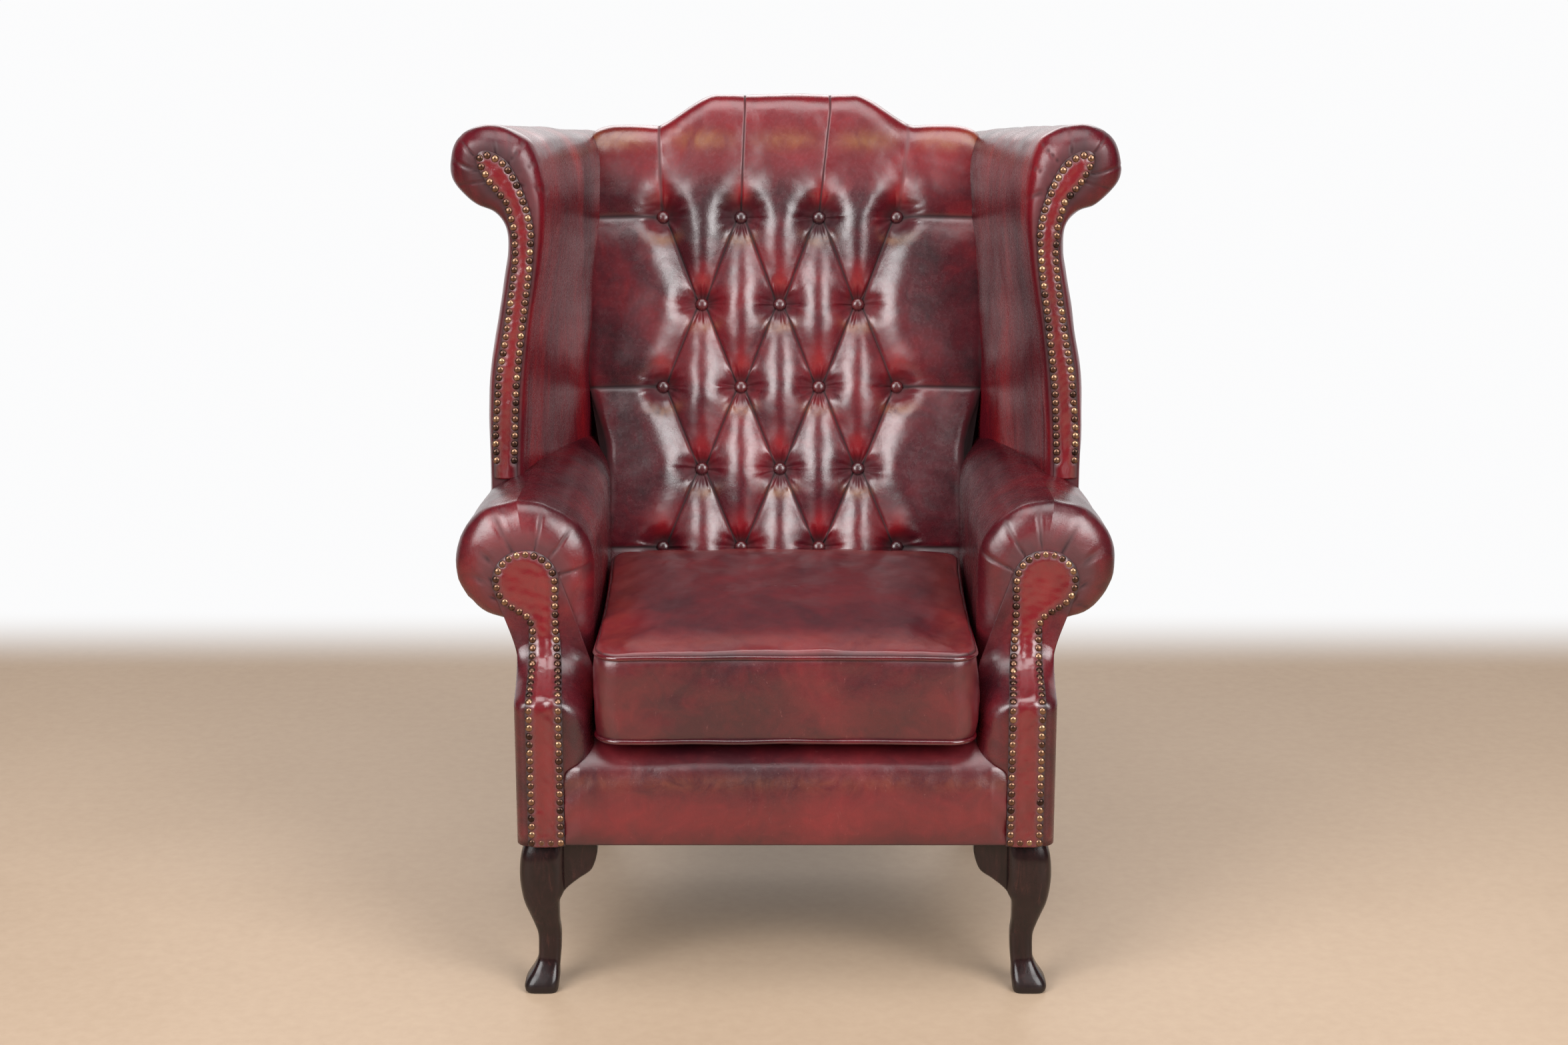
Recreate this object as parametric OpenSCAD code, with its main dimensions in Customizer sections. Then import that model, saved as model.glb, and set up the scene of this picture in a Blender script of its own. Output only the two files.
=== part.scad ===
// Chesterfield wing chair with rolled arms, flared wings, a buttoned back and a loose welted seat cushion.
// The chair faces -Y and is mirrored about the plane X = 0. Left and right are as seen from the front.
// Sections are drawn with Y counted back from the face of the front border, and moved to the origin at the end.

/* [Seat] */
// Clear width between the two inside arms
seat_w = 501; // [460:1:560]
// Depth from the front border to the inside back, at the top of the seat cushion
seat_d = 500; // [480:1:540]
// Height of the legs, from the floor to the seat frame
leg_h = 212; // [170:1:240]
// Height of the seat rails
rail_h = 98; // [80:1:110]
// Thickness of the frame boards
board_t = 25; // [20:1:28]
// Rise from the top of the rails to the top of the seat deck
deck_rise = 35; // [30:1:50]

/* [Seat cushion] */
// Height of the side walls, from the lower welt to the upper one
cushion_h = 113; // [90:1:130]
// Rise of the crown above the upper welt
cushion_crown = 26; // [10:1:35]
// Drop of the underside below the lower welt
cushion_under = 12.7; // [8:0.1:20]
// How far the cushion stands out past the front border
cushion_nose = 10; // [4:1:16]
// Gap between the cushion and each inside arm
cushion_gap = 3.5; // [2:0.5:8]
// How far each side wall draws in between two corners
cushion_draw = 4; // [0:0.5:6]
// Radius of the cushion's corners
cushion_corner_r = 34; // [20:1:60]
// Diameter of the welt cord in its leather
welt_d = 6; // [4:0.5:8]

/* [Arms] */
// Rise of the arm's top above the seat deck
arm_rise = 303; // [260:1:340]
// Radius of the arm roll at its front
roll_r = 82; // [70:1:92]
// Width of the arm below the roll, at the front
arm_w = 99.5; // [90:0.5:120]
// How much the radius of the roll gets smaller towards the back
roll_taper = 20; // [5:1:30]
// How far the arm's outside comes in towards the back
arm_converge = 35; // [10:1:40]
// How far the scroll stands back from the front border
scroll_back = 85; // [60:1:110]
// Width between the two nail rows of the arm facing
facing_w = 37; // [32:0.5:44]

/* [Back] */
// Thickness of the padded back, from its front at the cushion to its rear at the bottom of the seat frame
back_t = 100; // [90:1:140]
// Height of the crest above the seat deck
back_rise = 748; // [680:1:820]
// Lean of the inside back from upright, in degrees
back_rake = 16; // [12:0.5:20]
// Lean of the outside back from upright, in degrees
outside_rake = 11.8; // [9:0.1:14]
// Rise of the middle of the crest above its shoulders
crest_rise = 43; // [20:1:60]
// Depth of the leather at a button below the top of a pillow
tuft_depth = 34; // [20:1:40]
// Height of the buttoned field, from the lowest row of buttons to the highest
tuft_h = 478; // [420:1:500]
// Diameter of a covered button
button_d = 19; // [14:0.5:24]

/* [Wings] */
// Rise of a wing's top above the arm
wing_rise = 461; // [400:1:500]
// How far a wing's scroll stands out past the centre of the arm roll
wing_flare = 93.5; // [70:0.5:110]
// How far a wing's facing stands back from the front border
wing_setback = 270; // [220:1:320]
// Radius of the padded edge round a wing's facing
wing_edge_r = 28; // [20:1:40]

/* [Legs] */
// Width of a front leg's knee
knee_w = 58; // [50:1:64]
// Width of a front leg's ankle
ankle_w = 30; // [24:1:36]
// Width of a front leg's pad foot
foot_w = 45; // [38:1:52]
// Width of a rear leg at its top
rear_leg_w = 44; // [36:1:50]
// Width of a rear leg at the floor
rear_foot_w = 30; // [24:1:36]
// How far a rear foot stands back from the top of its leg
rear_leg_splay = 60; // [30:1:90]
// Diameter of a leg bolt
bolt_d = 8; // [6:0.5:10]
// Length of a leg bolt
bolt_h = 90; // [70:1:100]

/* [Nails] */
// Distance from one nail to the next
nail_pitch = 11.35; // [10.5:0.05:13]
// Diameter of a nail's head
nail_d = 10; // [8:0.1:10.4]
// Height of a nail's head
nail_h = 3.4; // [2.5:0.1:4.5]
// Diameter of a nail's shank
nail_shank_d = 1.6; // [1.2:0.1:2]
// Length of a nail's shank
nail_shank_h = 9; // [6:0.5:12]

/* [Hidden] */

$fn = 32;

// Clearance of a loose fit
slack = 0.5;
// Gap between two soft pieces that can come apart
soft_gap = 0.3;
// Overrun of a cut past the face that it opens
over = 1;
leather_t = 3;
// Gap between a frame board and the leather outside it
board_gap = 2;

// Depth of the seat frame along its bottom edge
frame_d = seat_d + back_t;
rail_top = leg_h + rail_h;
deck_z = rail_top + deck_rise;
half_seat = seat_w / 2;

welt_low_z = deck_z + soft_gap + cushion_under;
welt_top_z = welt_low_z + cushion_h;

arm_top = deck_z + arm_rise;
roll_z = arm_top - roll_r;
neck_z = roll_z - roll_r;
neck_h = neck_z - deck_z;
arm_out = half_seat + arm_w;
wall_out = arm_out - leather_t;
roll_x = arm_out - leather_t / 2;
roll_lean = 24 / 82 * roll_r;

crest_z = deck_z + back_rise;
shoulder_z = crest_z - crest_rise;

// Points of an elliptical arc
function arc(cx, cz, rx, rz, from, to, n) =
  [for (i = [0:n - 1]) let (a = from + (to - from) * i / (n - 1)) [cx + rx * cos(a), cz + rz * sin(a)]];

function lerp(a, b, t) = a + (b - a) * t;

// Points of two outlines with equal counts, blended by a share t
function blend(a, b, t) = [for (i = [0:len(a) - 1]) lerp(a[i], b[i], t)];

// Share of a rounded edge's full size at a share u of its depth, along a quarter of a circle
function quarter(u) = let (c = 1 - max(0, min(1, u))) sqrt(1 - c * c);

function unit(v) = v / norm(v);

// Y of the outside back, which leans from the back end of the seat frame
function outside_y(z) = frame_d + (z - leg_h) * tan(outside_rake);

// Point of the inside back: u across, v up along the back, w out of it towards the sitter
function back_point(u, v, w) = [
  u,
  seat_d + v * sin(back_rake) - w * cos(back_rake),
  welt_top_z + v * cos(back_rake) + w * sin(back_rake)
];

// Y of a plane w behind the inside back, at height z
function inside_y(z, w) = seat_d + (z - welt_top_z - w * sin(back_rake)) * tan(back_rake) - w * cos(back_rake);

// Solid through a row of rings with equal counts. Each ring runs counterclockwise as seen from the first
// ring's side. A ring that starts and ends at its foot, with its two sides opposite each other, is capped
// by rungs between them.
module loft(rings, closed = false, rungs = false) {
  n = len(rings[0]);
  m = len(rings);
  last = closed ? m - 1 : m - 2;
  end = (m - 1) * n;
  sides = [
    for (i = [0:last], j = [0:n - 1])
      let (a = i * n + j, b = i * n + (j + 1) % n, k = (i + 1) % m, c = k * n + (j + 1) % n, d = k * n + j)
        each [[a, b, c], [a, c, d]]
  ];
  flat_ends = [[for (j = [n - 1:-1:0]) j], [for (j = [0:n - 1]) end + j]];
  rung_ends = [
    for (k = [0:n / 2 - 2])
      each [
        [n - 2 - k, k + 1, k], [n - 1 - k, n - 2 - k, k],
        [end + k, end + k + 1, end + n - 2 - k], [end + k, end + n - 2 - k, end + n - 1 - k]
      ]
  ];
  ends = closed ? [] : rungs ? rung_ends : flat_ends;
  polyhedron(points = [for (r = rings) each r], faces = concat(sides, ends), convexity = 8);
}

// Round tube of a given number of sides along a path that lies about level
module tube(path, r, sides, closed = false) {
  m = len(path);
  rings = [
    for (i = [0:m - 1])
      let (
        before = closed ? path[(i + m - 1) % m] : path[max(0, i - 1)],
        after = closed ? path[(i + 1) % m] : path[min(m - 1, i + 1)],
        along = unit(after - before),
        across = unit(cross(along, [0, 0, 1])),
        up = cross(across, along)
      )
        [for (j = [0:sides - 1]) let (a = 360 * j / sides) path[i] + r * (cos(a) * across + sin(a) * up)]
  ];
  loft(rings, closed);
}

// Right piece as drawn, and the left one as its mirror image
module left_side() {
  mirror([1, 0, 0]) children();
}

// Plate between two corners
module block(low, high) {
  translate(low) cube(high - low);
}

// Outline in X and Z, pushed back along Y
module push_back(y_from, y_to) {
  translate([0, y_to, 0]) rotate([90, 0, 0]) linear_extrude(y_to - y_from) children();
}

// Outline in Y and Z, drawn as X and Y, pushed across along X
module push_across(x_from, x_to) {
  translate([x_from, 0, 0]) rotate([90, 0, 90]) linear_extrude(x_to - x_from) children();
}

// Length along a path up to each of its points
function runs(path) = [
  for (i = 0, s = 0; i < len(path); s = s + (i + 1 < len(path) ? norm(path[i + 1] - path[i]) : 0), i = i + 1) s
];

// Points at an equal pitch along a path, from one end to the other
function along_path(path, pitch) =
  let (
    s = runs(path),
    total = s[len(s) - 1],
    count = round(total / pitch),
    step = total / count,
    xs = [for (i = [0:len(s) - 1]) [s[i], path[i].x]],
    ys = [for (i = [0:len(s) - 1]) [s[i], path[i].y]],
    zs = [for (i = [0:len(s) - 1]) [s[i], path[i].z]]
  )
    [for (k = [0:count]) let (d = k * step) [lookup(d, xs), lookup(d, ys), lookup(d, zs)]];

// Upholstery nail, its head's underside at the origin and its dome towards -Y
module nail(lean) {
  r = nail_d / 2;
  rotate([90 + lean, 0, 0]) rotate_extrude($fn = 16) polygon([
    [0, -nail_shank_h],
    [nail_shank_d / 2, -nail_shank_h],
    [nail_shank_d / 2, 0],
    [r, 0],
    for (a = [25, 58]) [r * cos(a), nail_h * sin(a)],
    [0, nail_h]
  ]);
}

// Side profile of the arm facing: height, and Y at that height, as shares of neck_h and scroll_back
facing_profile_shares = [
  [-2, 0], [0.4, 0], [0.45, 0.03], [0.49, 0.13], [0.55, 0.36], [0.62, 0.62], [0.73, 0.84],
  [0.86, 0.94], [1.04, 0.985], [1.3, 1], [3, 1]
];
facing_profile = [for (p = facing_profile_shares) [deck_z + p[0] * neck_h, p[1] * scroll_back]];
facing_t = 6;
facing_edge = 6;
// The facing's own edge, a little inside the edge of the padding under it
facing_cut = facing_edge - 2 * soft_gap;

function facing_y(z) = lookup(z, facing_profile);

// Height of the top of the low block in front of the scroll, at a distance back from the border
function knuckle_z(y) = lookup(y, [for (i = [1:8]) [facing_profile[i][1], facing_profile[i][0]]]);

// Outline of the arm facing: the nails' line, or the facing's edge when it is grown
facing_in_x = arm_out - 21 / 99.5 * arm_w - facing_w;
facing_out_x = facing_in_x + facing_w;
facing_scroll_r = 0.463 * roll_r;
facing_scroll_x = facing_in_x + 7.5 / 37 * facing_w + facing_scroll_r;
facing_scroll_z = roll_z - 0.25 * roll_r;

function arm_facing_outline(grow) = concat(
  [
    [facing_in_x - grow, leg_h + facing_edge - grow],
    [facing_out_x + grow, leg_h + facing_edge - grow],
    [facing_out_x + grow, deck_z],
    [facing_out_x + grow, deck_z + 0.45 * neck_h],
    [facing_out_x + grow, deck_z + 0.55 * neck_h],
    [facing_out_x + grow, deck_z + 0.73 * neck_h],
    [facing_out_x + grow * 1.1, neck_z],
    [facing_out_x + grow * 1.2 + 0.04 * roll_r, neck_z + 0.16 * roll_r - grow * 0.4]
  ],
  arc(facing_scroll_x, facing_scroll_z, facing_scroll_r + grow, facing_scroll_r + grow, -68, 172, 15),
  [
    [facing_in_x + 7.5 / 37 * facing_w - grow, neck_z],
    [facing_in_x + 5 / 37 * facing_w - grow, deck_z + 0.73 * neck_h],
    [facing_in_x + 2 / 37 * facing_w - grow, deck_z + 0.55 * neck_h],
    [facing_in_x - grow, deck_z + 0.45 * neck_h],
    [facing_in_x - grow, deck_z]
  ]
);

// Section of the whole padded arm, at a distance y back from the border. The low block in front of the
// scroll and the scroll itself share one count of points.
low_edge_r = 40;
scroll_edge_r = 30;
low_front = facing_t * 0.25;
scroll_front = scroll_back + low_front;
notch_z = leg_h + 0.99 * rail_h;
mid_arm_z = deck_z + 0.12 * neck_h;

function low_inner(y) = lerp(facing_in_x - facing_edge, half_seat, quarter((y - low_front) / low_edge_r));
function low_outer(y) = lerp(facing_out_x + facing_edge, arm_out, quarter((y - low_front) / low_edge_r * 2));

function low_section(y) =
  let (
    xi = low_inner(y),
    xo = low_outer(y),
    zt = knuckle_z(y - low_front),
    drop_in = 0.3 * neck_h * quarter((y + low_edge_r / 4) / low_edge_r),
    drop_out = 0.1 * neck_h
  )
    concat(
      [
        [xo, leg_h], [xo, rail_top], [xo, mid_arm_z], [xo, lerp(mid_arm_z, zt - drop_out, 0.4)]
      ],
      [for (k = [0:4]) [xo, lerp(lerp(mid_arm_z, zt - drop_out, 0.5), zt - drop_out, k / 5)]],
      arc(facing_out_x, zt - drop_out, xo - facing_out_x, drop_out, 0, 90, 5),
      arc(facing_in_x + facing_edge, zt - drop_in, facing_in_x + facing_edge - xi, drop_in, 90, 180, 7),
      [
        [xi, lerp(mid_arm_z, zt - drop_in, 0.6)], [xi, mid_arm_z], [xi, rail_top + deck_rise * 0.4],
        [facing_in_x - facing_edge, notch_z], [facing_in_x - facing_edge, leg_h]
      ]
    );

function scroll_section(t, grow) =
  let (
    r = lerp(facing_scroll_r + facing_edge, roll_r - roll_taper * t, grow),
    cx = lerp(facing_scroll_x, roll_x - roll_lean * t, grow),
    cz = lerp(facing_scroll_z, roll_z, grow),
    xo = lerp(arm_out, wall_out - arm_converge * t, grow < 1 ? 0 : 1),
    under = lerp(-75, -acos(max(-1, min(1, (xo - cx) / r))), grow),
    a = lerp(facing_scroll_r + facing_edge, cx - half_seat, grow),
    xi = lerp(facing_in_x, half_seat, grow)
  )
    concat(
      [
        [xo, leg_h], [xo, rail_top], [xo, mid_arm_z],
        [lerp(facing_out_x + facing_edge, xo, grow), cz - 1.1 * r]
      ],
      arc(cx, cz, r, r, under, 0, 6),
      arc(cx, cz, r, r, 22.5, 90, 4),
      arc(cx - roll_r / 50, cz, a - roll_r / 50, r, 90, 180, 7),
      [
        [xi, lerp(mid_arm_z, cz, 0.4)], [half_seat, mid_arm_z], [half_seat, rail_top + deck_rise * 0.4],
        [facing_in_x - facing_edge, notch_z], [facing_in_x - facing_edge, leg_h]
      ]
    );

arm_front_shares = [0, 0.07, 0.22, 0.5, 1];
arm_low_steps = [for (i = [1:8]) low_front + facing_profile[i][1]];
arm_full_y = scroll_front + scroll_edge_r;

module arm_body() {
  low = [for (y = arm_low_steps) [for (p = low_section(y)) [p[0], y, p[1]]]];
  edge = [
    for (s = arm_front_shares)
      [for (p = scroll_section(0, quarter(s))) [p[0], scroll_front + s * scroll_edge_r, p[1]]]
  ];
  run = [
    for (t = [0.4, 1])
      [for (p = scroll_section(t, 1)) [p[0], lerp(arm_full_y, outside_y(p[1]), t), p[1]]]
  ];
  loft(concat(low, edge, run), rungs = true);
}

// The arm behind its rounded front, run on past the outside back. The wing and the back rest on it.
past = 1.02;
module arm_back_part() {
  loft([
    for (t = [0, 0.4, 1, past])
      [for (p = scroll_section(t, 1)) [p[0], lerp(arm_full_y, outside_y(p[1]), t), p[1]]]
  ], rungs = true);
}

// Height at which the roll's underside meets the outside arm, at the front and at the back
panel_front_z = neck_z - soft_gap;
roll_end_r = roll_r - roll_taper;
roll_end_x = roll_x - roll_lean;
wall_end_x = wall_out - arm_converge;
panel_end_x = wall_end_x + leather_t - roll_end_x;
panel_back_z = roll_z - sqrt(roll_end_r * roll_end_r - panel_end_x * panel_end_x) - soft_gap;

// Hardwood frame

post_in_x = half_seat + 12 / 64.5 * (arm_w - arm_converge);
post_out_x = wall_end_x - 6 / 64.5 * (arm_w - arm_converge);
side_rail_out = post_out_x;
side_rail_in = side_rail_out - board_t;
front_rail_y = board_t;
back_foam_w = -76;
post_top = shoulder_z - crest_rise;

function post_front(z) = inside_y(max(z, rail_top + deck_rise), back_foam_w - board_gap);

stump_in = facing_in_x + slack;
stump_out = facing_out_x - slack;
stump_y = front_rail_y / 2;
stump_scroll_y = scroll_front + facing_t;

// Front upright of an arm: a thick foot for the leg bolt, and the scroll board behind the low block
module arm_stump() {
  color("burlywood") difference() {
    union() {
      push_across(stump_in, stump_out) polygon([
        [stump_y, leg_h],
        [stump_y, deck_z + 0.3 * neck_h],
        [scroll_back * 0.45, deck_z + 0.42 * neck_h],
        [stump_scroll_y, deck_z + 0.6 * neck_h],
        [stump_scroll_y, facing_scroll_z],
        [stump_scroll_y + board_t, facing_scroll_z],
        [stump_scroll_y + board_t, leg_h]
      ]);
      translate([facing_scroll_x, stump_scroll_y + board_t, facing_scroll_z]) rotate([90, 0, 0])
        cylinder(r = facing_scroll_r * 0.94, h = board_t, $fn = 48);
    }
    leg_bolt_bore();
  }
}

arm_rail_w = 0.55 * roll_r;
arm_rail_h = 0.36 * roll_r;
arm_rail_y = stump_scroll_y + board_t;
arm_rail_x = facing_scroll_x - arm_rail_w / 2;
arm_rail_z = facing_scroll_z - arm_rail_h / 2;

// Board that carries the arm roll, from the stump to a little way into the back post
module arm_rail_shape() {
  rear_y = post_front(arm_rail_z + arm_rail_h) + over;
  loft([
    for (k = [[arm_rail_y, arm_rail_x], [rear_y, post_in_x]])
      [
        [k[1], k[0], arm_rail_z],
        [k[1] + arm_rail_w, k[0], arm_rail_z],
        [k[1] + arm_rail_w, k[0], arm_rail_z + arm_rail_h],
        [k[1], k[0], arm_rail_z + arm_rail_h]
      ]
  ]);
}

// The arm rail ends along the leaning front of the back post
module arm_rail() {
  low = arm_rail_z - over;
  high = arm_rail_z + arm_rail_h + over;
  color("burlywood") difference() {
    arm_rail_shape();
    push_across(0, arm_out) polygon([
      [post_front(low), low], [post_front(low) + arm_rail_h, low], [post_front(high) + arm_rail_h, high],
      [post_front(high), high]
    ]);
  }
}

module back_post() {
  color("burlywood") difference() {
    push_across(post_in_x, post_out_x) polygon([
      [post_front(0), leg_h],
      [post_front(0), deck_z],
      [post_front(post_top), post_top],
      [outside_y(post_top) - board_gap, post_top],
      [outside_y(leg_h) - board_gap, leg_h]
    ]);
    rear_bolt_bore();
  }
}

module side_rail() {
  color("burlywood") block(
    [side_rail_in, stump_scroll_y + board_t, leg_h],
    [side_rail_out, post_front(0), rail_top]
  );
}

module front_rail() {
  color("burlywood") block([-stump_in, front_rail_y, leg_h], [stump_in, front_rail_y + board_t, rail_top]);
}

module back_rail() {
  color("burlywood") block(
    [-post_in_x, frame_d - board_gap - board_t, leg_h],
    [post_in_x, frame_d - board_gap, rail_top]
  );
}

// Level board between the posts, set in a little from their fronts
module back_board(low, high) {
  push_across(-post_in_x, post_in_x) polygon([
    for (p = [[low, soft_gap], [high, soft_gap], [high, board_t], [low, board_t]]) [post_front(p[0]) + p[1], p[0]]
  ]);
}

crest_rail_h = 0.9 * rail_h;
module crest_rail() {
  color("burlywood") back_board(post_top - crest_rail_h, post_top);
}

module lower_back_rail() {
  color("burlywood") back_board(deck_z + 0.15 * rail_h, deck_z + 0.75 * rail_h);
}

// Places of the four legs
front_leg_x = facing_in_x + facing_w / 2 + 4 / 99.5 * arm_w;
front_leg_y = arm_out - front_leg_x;
rear_leg_x = (post_in_x + post_out_x) / 2;
rear_leg_y = frame_d - board_gap - rear_leg_w / 2;
bolt_up = bolt_h * 0.55;

module bore_at(x, y) {
  translate([x, y, leg_h - bolt_h]) cylinder(d = bolt_d, h = bolt_h + bolt_up, $fn = 32);
}
module leg_bolt_bore() {
  bore_at(front_leg_x, front_leg_y);
}
module rear_bolt_bore() {
  bore_at(rear_leg_x, rear_leg_y);
}

// Three-cornered glue blocks in the corners of the seat frame
module corner_block(x, y, dx, dy) {
  size = rail_h * 0.6;
  translate([x, y, leg_h + rail_h * 0.1]) linear_extrude(rail_h * 0.6)
    polygon(dx * dy > 0 ? [[0, 0], [dx * size, 0], [0, dy * size]] : [[0, 0], [0, dy * size], [dx * size, 0]]);
}
module corner_blocks() {
  color("tan") for (side = [-1, 1]) {
    corner_block(side * side_rail_in, post_front(0), -side, -1);
    corner_block(side * stump_in, front_rail_y + board_t, -side, 1);
  }
}

// Seat suspension

spring_count = 5;
spring_wire_d = 3.8;
spring_loop_w = 46;
spring_turns = 12;
spring_y0 = front_rail_y + board_t / 2;
spring_y1 = frame_d - board_gap - board_t / 2;
spring_z = rail_top + spring_wire_d / 2 + slack;
function spring_x(i) = (i - (spring_count - 1) / 2) * (seat_w - spring_loop_w) / spring_count;
function spring_path(i) = [
  for (k = [0:spring_turns * 4])
    let (s = k / (spring_turns * 4), swell = min(1, min(s, 1 - s) * spring_turns))
      [
        spring_x(i) + swell * spring_loop_w / 2 * sin(k * 90),
        lerp(spring_y0, spring_y1, s),
        spring_z
      ]
];
module seat_springs() {
  color("dimgray") for (i = [0:spring_count - 1]) tube(spring_path(i), spring_wire_d / 2, 5);
}

clip_l = 22;
clip_w = 16;
module spring_clips() {
  top = spring_z + spring_wire_d;
  color("silver") for (i = [0:spring_count - 1], y = [spring_y0, spring_y1])
    difference() {
      block(
        [spring_x(i) - clip_w / 2, y - clip_l / 2, rail_top],
        [spring_x(i) + clip_w / 2, y + clip_l / 2, top]
      );
      block(
        [spring_x(i) - clip_w / 2 - over, y - clip_l / 2 - over, rail_top + slack / 2],
        [spring_x(i) + clip_w / 2 + over, y + clip_l / 2 + over, top - spring_wire_d / 2]
      );
    }
}

insulator_t = 5;
deck_cloth_t = 2;
insulator_z = spring_z + spring_wire_d + slack;
deck_front_y = 0.14 * seat_d;
deck_side_x = half_seat - slack;
function deck_back_y(z) = inside_y(z, 0) - tuft_depth * 1.2;

module deck_layer(low, high) {
  block([-deck_side_x, deck_front_y, low], [deck_side_x, deck_back_y(deck_z), high]);
}
module seat_insulator() {
  color("gray") deck_layer(insulator_z, insulator_z + insulator_t);
}
module deck_foam() {
  color("khaki") deck_layer(insulator_z + insulator_t, deck_z - deck_cloth_t);
}
module seat_deck() {
  color("maroon") deck_layer(deck_z - deck_cloth_t, deck_z);
}

dust_cover_t = 1;
module dust_cover() {
  color("black") difference() {
    block(
      [-stump_in, front_rail_y, leg_h - dust_cover_t],
      [stump_in, frame_d - board_gap, leg_h]
    );
    for (side = [-1, 1]) {
      block(
        [side > 0 ? ear_in_x - over : -stump_in - over, 0, leg_h - dust_cover_t - over],
        [side > 0 ? stump_in + over : -ear_in_x + over, stump_scroll_y, leg_h + over]
      );
      block(
        [side > 0 ? half_seat - over : -stump_in - over, rear_leg_y - rear_leg_w, leg_h - dust_cover_t - over],
        [side > 0 ? stump_in + over : -half_seat + over, frame_d, leg_h + over]
      );
    }
  }
}

// Padding and covers of the arms

arm_skin = 10;
foam_in_x = half_seat + arm_skin;
foam_wall_x = side_rail_in - board_gap;
arm_foam_y0 = stump_scroll_y + board_t;
arm_foam_y1 = post_front(rail_top) - slack;

// Foam of an arm: a slab on its inside, and the round of the roll with the arm rail through it
module arm_foam_shape() {
  union() {
    block([foam_in_x, arm_foam_y0, deck_z], [foam_wall_x, arm_foam_y1, roll_z]);
    loft([
      for (k = [[arm_foam_y0, 0.05], [outside_y(rail_top) - board_t, 0.9]])
        [
          for (j = [0:19])
            let (a = 18 * j, r = roll_r - roll_taper * k[1] - arm_skin)
              [roll_x - roll_lean * k[1] + r * cos(a), k[0], roll_z + r * sin(a)]
        ]
    ]);
  }
}

module arm_foam() {
  color("moccasin") difference() {
    arm_foam_shape();
    arm_rail_shape();
    back_post();
  }
}

// Space inside an arm, open towards the outside arm
module arm_hollow() {
  block([foam_in_x, stump_scroll_y, leg_h - over], [arm_out, 2 * frame_d, rail_top + deck_rise * 0.4]);
  loft([
    for (y = [stump_scroll_y + board_t, 2 * frame_d])
      let (z = panel_front_z - 0.06 * roll_r)
        [
          [foam_in_x, y, rail_top], [arm_out + roll_r, y, rail_top],
          [arm_out + roll_r, y, deck_z], [arm_out + over, y, z], [foam_in_x, y, z]
        ]
  ]);
  block([stump_in - slack, stump_y - slack, leg_h - over], [stump_out + slack, stump_scroll_y + over, deck_z]);
  block([foam_in_x, front_rail_y, leg_h - over], [stump_in, stump_scroll_y + over, rail_top]);
}

module arm_cover() {
  color([0.42, 0.07, 0.08]) difference() {
    arm_body();
    arm_hollow();
    arm_foam_shape();
    arm_stump();
    arm_rail_shape();
    back_post();
    lower_back_rail();
    back_webbing();
    arm_facing_shape();
    outside_back_shape(soft_gap);
  }
}

// Leather facing on the front of an arm: it runs up the low block, over its top and up the scroll
module arm_facing_shape() {
  intersection() {
    push_back(-over, scroll_back + facing_t + over) polygon(arm_facing_outline(facing_cut));
    push_across(facing_in_x - roll_r, facing_in_x + 2 * roll_r) polygon(concat(
      [for (p = facing_profile) [p[1], p[0]]],
      [for (i = [len(facing_profile) - 1:-1:0]) [facing_profile[i][1] + facing_t, facing_profile[i][0]]]
    ));
  }
}
module arm_facing() {
  color([0.36, 0.06, 0.07]) arm_facing_shape();
}

// Nails round an arm facing: the outer row goes up the outside and over the scroll, and the inner row comes
// down the inside and along the bottom
function on_facing(p) = [p[0], facing_y(p[1]), p[1]];
nail_line = arm_facing_outline(0);
nails_around = along_path(
  [
    for (i = [1:len(nail_line) - 1], s = [0, 0.25, 0.5, 0.75])
      on_facing(lerp(nail_line[i], nail_line[(i + 1) % len(nail_line)], s)),
    on_facing(nail_line[0])
  ],
  nail_pitch
);
nails_below = along_path([on_facing(nail_line[0]), on_facing(nail_line[1])], nail_pitch);
nails_outer = floor(len(nails_around) / 2);

module arm_nail(p) {
  rise = (facing_y(p.z + slack) - facing_y(p.z - slack)) / (2 * slack);
  translate(p) nail(-atan(rise));
}
module arm_nails_outer() {
  color("peru") for (i = [0:nails_outer - 1]) arm_nail(nails_around[i]);
}
module arm_nails_inner() {
  color("peru") {
    for (i = [nails_outer:len(nails_around) - 1]) arm_nail(nails_around[i]);
    for (i = [1:len(nails_below) - 2]) arm_nail(nails_below[i]);
  }
}

// Outside arm: a leather-covered board that closes the arm below the roll
module outside_arm() {
  low = leg_h + soft_gap;
  color([0.38, 0.06, 0.07]) difference() {
    loft([
      for (at_back = [0, 1])
        let (x = wall_out - arm_converge * at_back, top = at_back == 1 ? panel_back_z : panel_front_z)
          [
            for (p = [[x - over, low], [x + leather_t, low], [x + leather_t, top], [x - over, top]])
              [p[0], at_back == 1 ? outside_y(p[1]) - soft_gap : arm_full_y + soft_gap, p[1]]
          ]
    ]);
    arm_back_part();
  }
}

// Wings

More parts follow.
